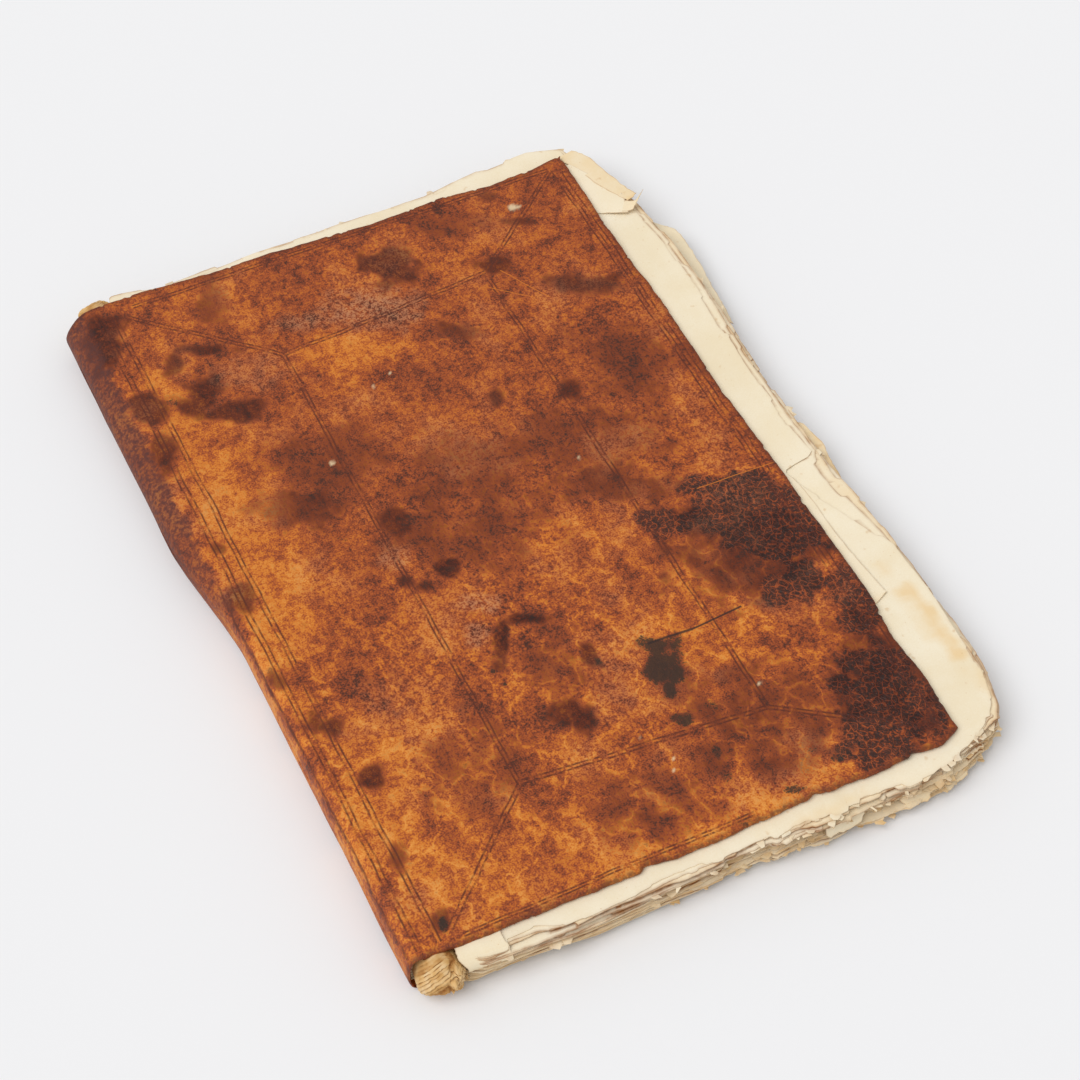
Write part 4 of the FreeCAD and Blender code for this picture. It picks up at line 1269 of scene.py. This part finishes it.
def guardRoll(name, middleX, root, end, seed):
    around = np.linspace(0, 2 * math.pi, guard["around"], endpoint=False)[None, :]
    share = np.linspace(0, 1, guard["along"])[:, None]
    length = abs(end - root)
    direction = 1.0 if end > root else -1.0
    # from the root the roll runs straight, then closes in a blunt dome of folded leaf edges
    straight = np.clip(share / guard["straight"], 0, 1)
    dome = np.clip((share - guard["straight"]) / (1 - guard["straight"]), 0, 1)
    bend = dome * 0.49 * math.pi        # a little less than a quarter turn leaves a small ring to close
    radius = guard["radius"] * (0.93 + 0.07 * straight) * np.cos(bend) ** 0.75
    reach = length * (0.50 * straight + 0.50 * np.sin(bend) ** 1.2)
    lobes = 1 + 0.04 * np.sin(2 * around + 0.6) + 0.05 * np.sin(3 * around + 2.0 + 2 * share)
    x = radius * np.cos(around) * lobes
    z = radius * np.sin(around) * lobes
    # each leaf's folded edge stands out by its own amount, and all of them are crushed together
    crumpled = ease(-2.0, 5.0, x - 0.35 * z + 2.5 * rough(x / 6.0, z / 6.0, seed + 9, 2))
    slant = z * 0.51 - x * 0.24 + direction * reach * 0.83
    sheets = guard["sheets"] * (slant + 0.5 * rough(x / 8.0, z / 8.0, seed, 2)
                                + 2.8 * crumpled * rough(x / 3.6, z / 3.6, seed + 2, 3))
    level = np.floor(sheets)
    within = sheets - level
    standing = lumps(level * 0.61 + 0.5, x / 7.0 + 5, seed + 4)
    groove = ease(0.34, 0.0, within) + ease(0.80, 1.0, within)
    kept = lumps(np.round(sheets) * 0.73, (x + z) / 4.0, seed + 6)
    groove = groove * (0.10 + 0.90 * ease(-0.35, 0.55, kept))
    crush = rough(x / 2.9, z / 2.9, seed + 8, 3) * (0.15 + 0.85 * crumpled)
    deep = ease(0.0, 0.35, dome)
    reach = reach + deep * (guard["stands"] * standing - guard["grooved"] * groove
                            + guard["crushed"] * crush)
    side = (guard["sideStands"] * standing - guard["sideGrooved"] * groove) * ease(0.05, 0.3, share)
    x = x * (1 + side / guard["radius"])
    z = z * (1 + side / guard["radius"])
    pointsX = middleX + x
    pointsY = root + direction * np.broadcast_to(reach, x.shape)
    pointsZ = book["middleZ"] + z * (book["middleZ"] - 1.2) / guard["radius"]
    points = np.stack([pointsX, pointsY, pointsZ], 2).reshape(-1, 3)
    faces = []
    rings = np.arange(len(points)).reshape(guard["along"], guard["around"])
    for first, second in zip(rings[:-1], rings[1:]):
        addStrip(faces, np.append(first, first[0]), np.append(second, second[0]))
    for ring in (rings[0], rings[-1]):
        faces.append([int(index) for index in ring])
    piece = makeMesh(name, points, faces, leafPaper, 75.0)
    # painted shade: the grooves between leaf edges and the crushed hollows are browned and tanned more, on top
    # of the guard's own brown
    hollows = np.clip(np.broadcast_to(groove, x.shape), 0, 1).ravel()
    shade = np.broadcast_to(ease(0.3, -0.6, crush + 0.4 * standing), x.shape).ravel()
    setNumbers(piece, "rim", np.maximum(0.95 * hollows, 0.36 + 0.64 * shade))
    setNumbers(piece, "agedAndShaded", 1.0 + 0.3 * shade)
    paperPiece(piece)


guardRoll("tail_guard", guard["tailX"], guard["tailRoot"], guard["tailEnd"], 510)
guardRoll("head_guard", guard["headX"], guard["headRoot"], guard["headEnd"], 530)
print("guards made")


# Folded, torn and curled sheets. Each row is the left and the right side of the sheet, x, y and z,
# from its root to its free end

looseSheets = {
    "folded_tongue": {
        "rows": ((133, -38, 21.70, 141, -40, 21.95), (133, -54, 21.70, 143.5, -54, 22.10),
                 (133, -90, 21.70, 144, -90, 22.30), (133.5, -118, 21.72, 147, -121, 22.35),
                 (134, -131, 21.74, 147.2, -125, 22.45)),
        "torn": 0.25, "curl": 0.10, "age": 0.06},
    "folded_corner": {
        "rows": ((131, 207, 21.75, 142, 206, 22.3), (131, 194, 21.75, 149, 192, 22.7),
                 (131, 180, 21.75, 157, 176, 23.0), (138, 167, 21.80, 154, 160, 23.2),
                 (139, 165.6, 21.9, 152.5, 157.6, 23.4)),
        "torn": 0.3, "curl": 0.12, "age": 0.08},
    "folded_band": {
        "rows": ((138, 214, 21.6, 148, 216, 21.9), (142.5, 204, 22.0, 153, 208, 22.4),
                 (149, 183.5, 22.6, 158.5, 186, 22.9), (155, 170, 23.0, 162.5, 172, 23.2),
                 (157.5, 166, 23.2, 164, 168.5, 23.4)),
        "torn": 0.5, "curl": 0.2, "age": 0.35},
    "rolled_tip": {
        "rows": ((151, 160.5, 23.1, 156, 166.5, 23.3), (153.5, 158.5, 23.2, 158.5, 164.5, 23.6),
                 (156, 157.5, 24.2, 161, 163.5, 24.6), (158, 159, 25.2, 164, 165, 25.6),
                 (160, 161.5, 25.0, 167.5, 168, 25.8)),
        "torn": 0.5, "curl": 0.2, "age": 0.25},
    "torn_fragment": {
        "rows": ((165, 158, 12.9, 170.5, 150, 12.6), (167, 150, 12.9, 175.5, 145, 12.3),
                 (167, 134, 12.6, 177.0, 131, 11.7), (167, 116, 12.4, 175.6, 112, 11.4),
                 (166, 96, 12.4, 173.6, 92, 11.6), (165, 76, 12.4, 171.0, 70, 11.8)),
        "torn": 0.8, "curl": 0.4, "age": 0.04},
    "curled_scrap": {
        "rows": ((160, -16, 17.0, 163, -9, 17.4), (162, -19, 16.8, 166.5, -11.5, 17.4),
                 (163.5, -26, 16.2, 169.5, -25, 16.4), (163, -38, 15.8, 168, -38, 15.8),
                 (162, -50, 15.6, 166.2, -50, 15.6)),
        "torn": 0.6, "curl": 0.5, "age": 0.5},
    "guard_flap": {
        "rows": ((-117.5, -204, 21.7, -96.0, -204, 21.7), (-118.0, -210, 22.3, -96.4, -211, 22.4),
                 (-118.0, -215.0, 21.7, -96.0, -217.0, 21.8), (-117.0, -218.4, 19.4, -95.6, -220.6, 19.6),
                 (-115.6, -219.6, 17.0, -95.4, -222.0, 17.2), (-114.6, -219.8, 15.0, -95.2, -222.4, 15.4)),
        "torn": 0.8, "curl": 0.25, "age": 0.10},
    "torn_flap": {
        "rows": ((58.5, -212, 17.6, 81, -212, 17.8), (58.2, -218.0, 17.0, 80, -217.6, 17.2),
                 (57.8, -222.0, 14.2, 79.5, -221.5, 14.4), (58.2, -224.2, 10.8, 78.5, -223.8, 11.2),
                 (60.5, -225.0, 8.4, 76, -224.6, 9.0)),
        "torn": 1.1, "curl": 0.3, "age": 0.10},
    "corner_shred": {
        "rows": ((98, -214, 10.6, 116, -214, 10.8), (98.5, -220, 9.8, 116, -220, 10.0),
                 (100, -223.6, 7.8, 115, -223.2, 8.2), (102, -225.4, 5.0, 113, -225.0, 5.6)),
        "torn": 1.3, "curl": 0.5, "age": 0.35},
    "far_shred": {
        "rows": ((118, -212, 9.6, 137, -210, 9.8), (118.5, -218.5, 8.8, 137.5, -216.5, 9.0),
                 (120, -222.5, 6.8, 136.5, -220.0, 7.2), (122, -224.6, 4.4, 134, -222.0, 5.0)),
        "torn": 1.3, "curl": 0.5, "age": 0.28},
}


sheetThick = 0.22
sheetStep = 0.6         # spacing of a sheet's mesh


def smoothThrough(points, share):  # a smooth line through points that follow each other
    last = len(points) - 1
    position = np.clip(share * last, 0, last - 1e-9)
    start = np.floor(position).astype(int)
    t = (position - start)[:, None]
    before = points[np.maximum(start - 1, 0)]
    here = points[start]
    after = points[start + 1]
    beyond = points[np.minimum(start + 2, last)]
    return 0.5 * (2 * here + (after - before) * t + (2 * before - 5 * here + 4 * after - beyond) * t ** 2
                  + (3 * here - before - 3 * after + beyond) * t ** 3)


def looseSheet(name, sheet, seed):
    rows = np.array(sheet["rows"], float)
    middles = (rows[:, :3] + rows[:, 3:]) / 2
    length = np.linalg.norm(np.diff(middles, axis=0), axis=1).sum()
    width = np.linalg.norm(rows[:, :3] - rows[:, 3:], axis=1).mean()
    along = max(12, int(length / sheetStep))
    across = max(10, int(width / sheetStep))
    u = np.linspace(0, 1, along)
    v = np.linspace(0, 1, across)
    left = smoothThrough(rows[:, :3], u)[:, None, :]
    right = smoothThrough(rows[:, 3:], u)[:, None, :]
    share = v[None, :, None]
    grid = left * (1 - share) + right * share
    direction = np.gradient(grid, axis=0)
    direction = direction / np.linalg.norm(direction, axis=2, keepdims=True)
    sideways = np.gradient(grid, axis=1)
    sideways = sideways / np.linalg.norm(sideways, axis=2, keepdims=True)
    normal = np.cross(sideways, direction)
    normal = normal / np.linalg.norm(normal, axis=2, keepdims=True)
    endTorn = sheet["torn"] * rough(v * width / 4.5, 0.5, seed, 4)[None, :] * ease(0.55, 1, u)[:, None]
    leftTorn = rough(u * length / 5.0, 3.5, seed + 5, 4)[:, None] * ease(0.3, 0, v)[None, :]
    rightTorn = rough(u * length / 5.0, 7.5, seed + 9, 4)[:, None] * ease(0.7, 1, v)[None, :]
    sidesTorn = sheet["torn"] * (leftTorn + rightTorn)
    bow = sheet["curl"] * rough(u[:, None] * length / 9.0, v[None, :] * width / 9.0, seed + 13, 3)
    bow = bow * ease(0.0, 0.3, u)[:, None]
    grid = grid + direction * endTorn[:, :, None] + sideways * sidesTorn[:, :, None]
    grid = grid + normal * bow[:, :, None]
    upperSide = grid + normal * sheetThick / 2
    lowerSide = grid - normal * sheetThick / 2
    points = np.concatenate([upperSide.reshape(-1, 3), lowerSide.reshape(-1, 3)])
    index = np.arange(along * across).reshape(along, across)
    under = index + along * across
    faces = []
    for side in (index, under):
        for row in range(along - 1):
            addStrip(faces, side[row], side[row + 1])
    rim = np.concatenate([index[0], index[1:, -1], index[-1, -2::-1], index[-2::-1, 0]])
    addStrip(faces, rim, rim + along * across)
    piece = makeMesh(name, points, faces, leafPaper, 60.0)
    border = np.zeros((along, across))
    border[-1, :] = 0.7
    border[:, 0] = 0.5
    border[:, -1] = 0.5
    age = np.full((along, across), sheet["age"]) + 0.25 * ease(0.75, 1.0, u)[:, None]
    setNumbers(piece, "rim", np.tile(border.ravel(), 2))
    setNumbers(piece, "agedAndShaded", np.tile(age.ravel(), 2))
    paperPiece(piece)


for number, (name, sheet) in enumerate(looseSheets.items()):
    looseSheet(name, sheet, 600 + 20 * number)
print("loose sheets made,", len(looseSheets))


# Floor, light and camera

photoView = {
    "target": (20.155, -8.712, 0.0),
    "azimuth": -25.757,
    "elevation": 51.429,
    "distance": 1238.682,
    "lens": 83.33,
}
studio = {
    "floorSize": 60.0,
    "world": 0.58,
    "sun": 1.76,
    "sunAngle": 48.0,
    "sunFrom": (-1.20, -0.25, 1.85),
    "floorTone": (0.845, 0.845, 0.855, 1.0),
}


def makeFloor():
    half = studio["floorSize"] / 2
    mesh = bpy.data.meshes.new("floor")
    corners = [(-half, -half, 0), (half, -half, 0), (half, half, 0), (-half, half, 0)]
    mesh.from_pydata(corners, [], [(0, 1, 2, 3)])
    floor = bpy.data.objects.new("floor", mesh)
    bpy.context.scene.collection.objects.link(floor)
    material = bpy.data.materials.new("paleFloor")
    material.use_nodes = True
    shader = material.node_tree.nodes["Principled BSDF"]
    shader.inputs["Base Color"].default_value = studio["floorTone"]
    shader.inputs["Roughness"].default_value = 0.9
    shader.inputs["Specular IOR Level"].default_value = 0.1
    mesh.materials.append(material)


def makeLights():
    world = bpy.data.worlds.new("studioWorld")
    world.use_nodes = True
    background = world.node_tree.nodes["Background"]
    background.inputs["Color"].default_value = (1.0, 1.0, 1.0, 1.0)
    background.inputs["Strength"].default_value = studio["world"]
    bpy.context.scene.world = world
    light = bpy.data.lights.new("softSun", "SUN")
    light.angle = math.radians(studio["sunAngle"])
    light.energy = studio["sun"]
    lamp = bpy.data.objects.new("softSun", light)
    lamp.rotation_mode = "QUATERNION"
    lamp.rotation_quaternion = (-Vector(studio["sunFrom"])).to_track_quat("-Z", "Y")
    bpy.context.scene.collection.objects.link(lamp)


def makeCamera():
    azimuth = math.radians(photoView["azimuth"])
    elevation = math.radians(photoView["elevation"])
    back = Vector((math.sin(azimuth) * math.cos(elevation), -math.cos(azimuth) * math.cos(elevation),
                   math.sin(elevation)))
    data = bpy.data.cameras.new("camera")
    data.lens = photoView["lens"]
    data.sensor_width = 36.0
    camera = bpy.data.objects.new("camera", data)
    camera.rotation_mode = "QUATERNION"
    camera.location = (Vector(photoView["target"]) + back * photoView["distance"]) * mm
    camera.rotation_quaternion = (-back).to_track_quat("-Z", "Y")
    bpy.context.scene.collection.objects.link(camera)
    bpy.context.scene.camera = camera


makeFloor()
makeLights()
makeCamera()
bpy.context.scene.view_settings.view_transform = "Standard"
print("floor, light and camera set")
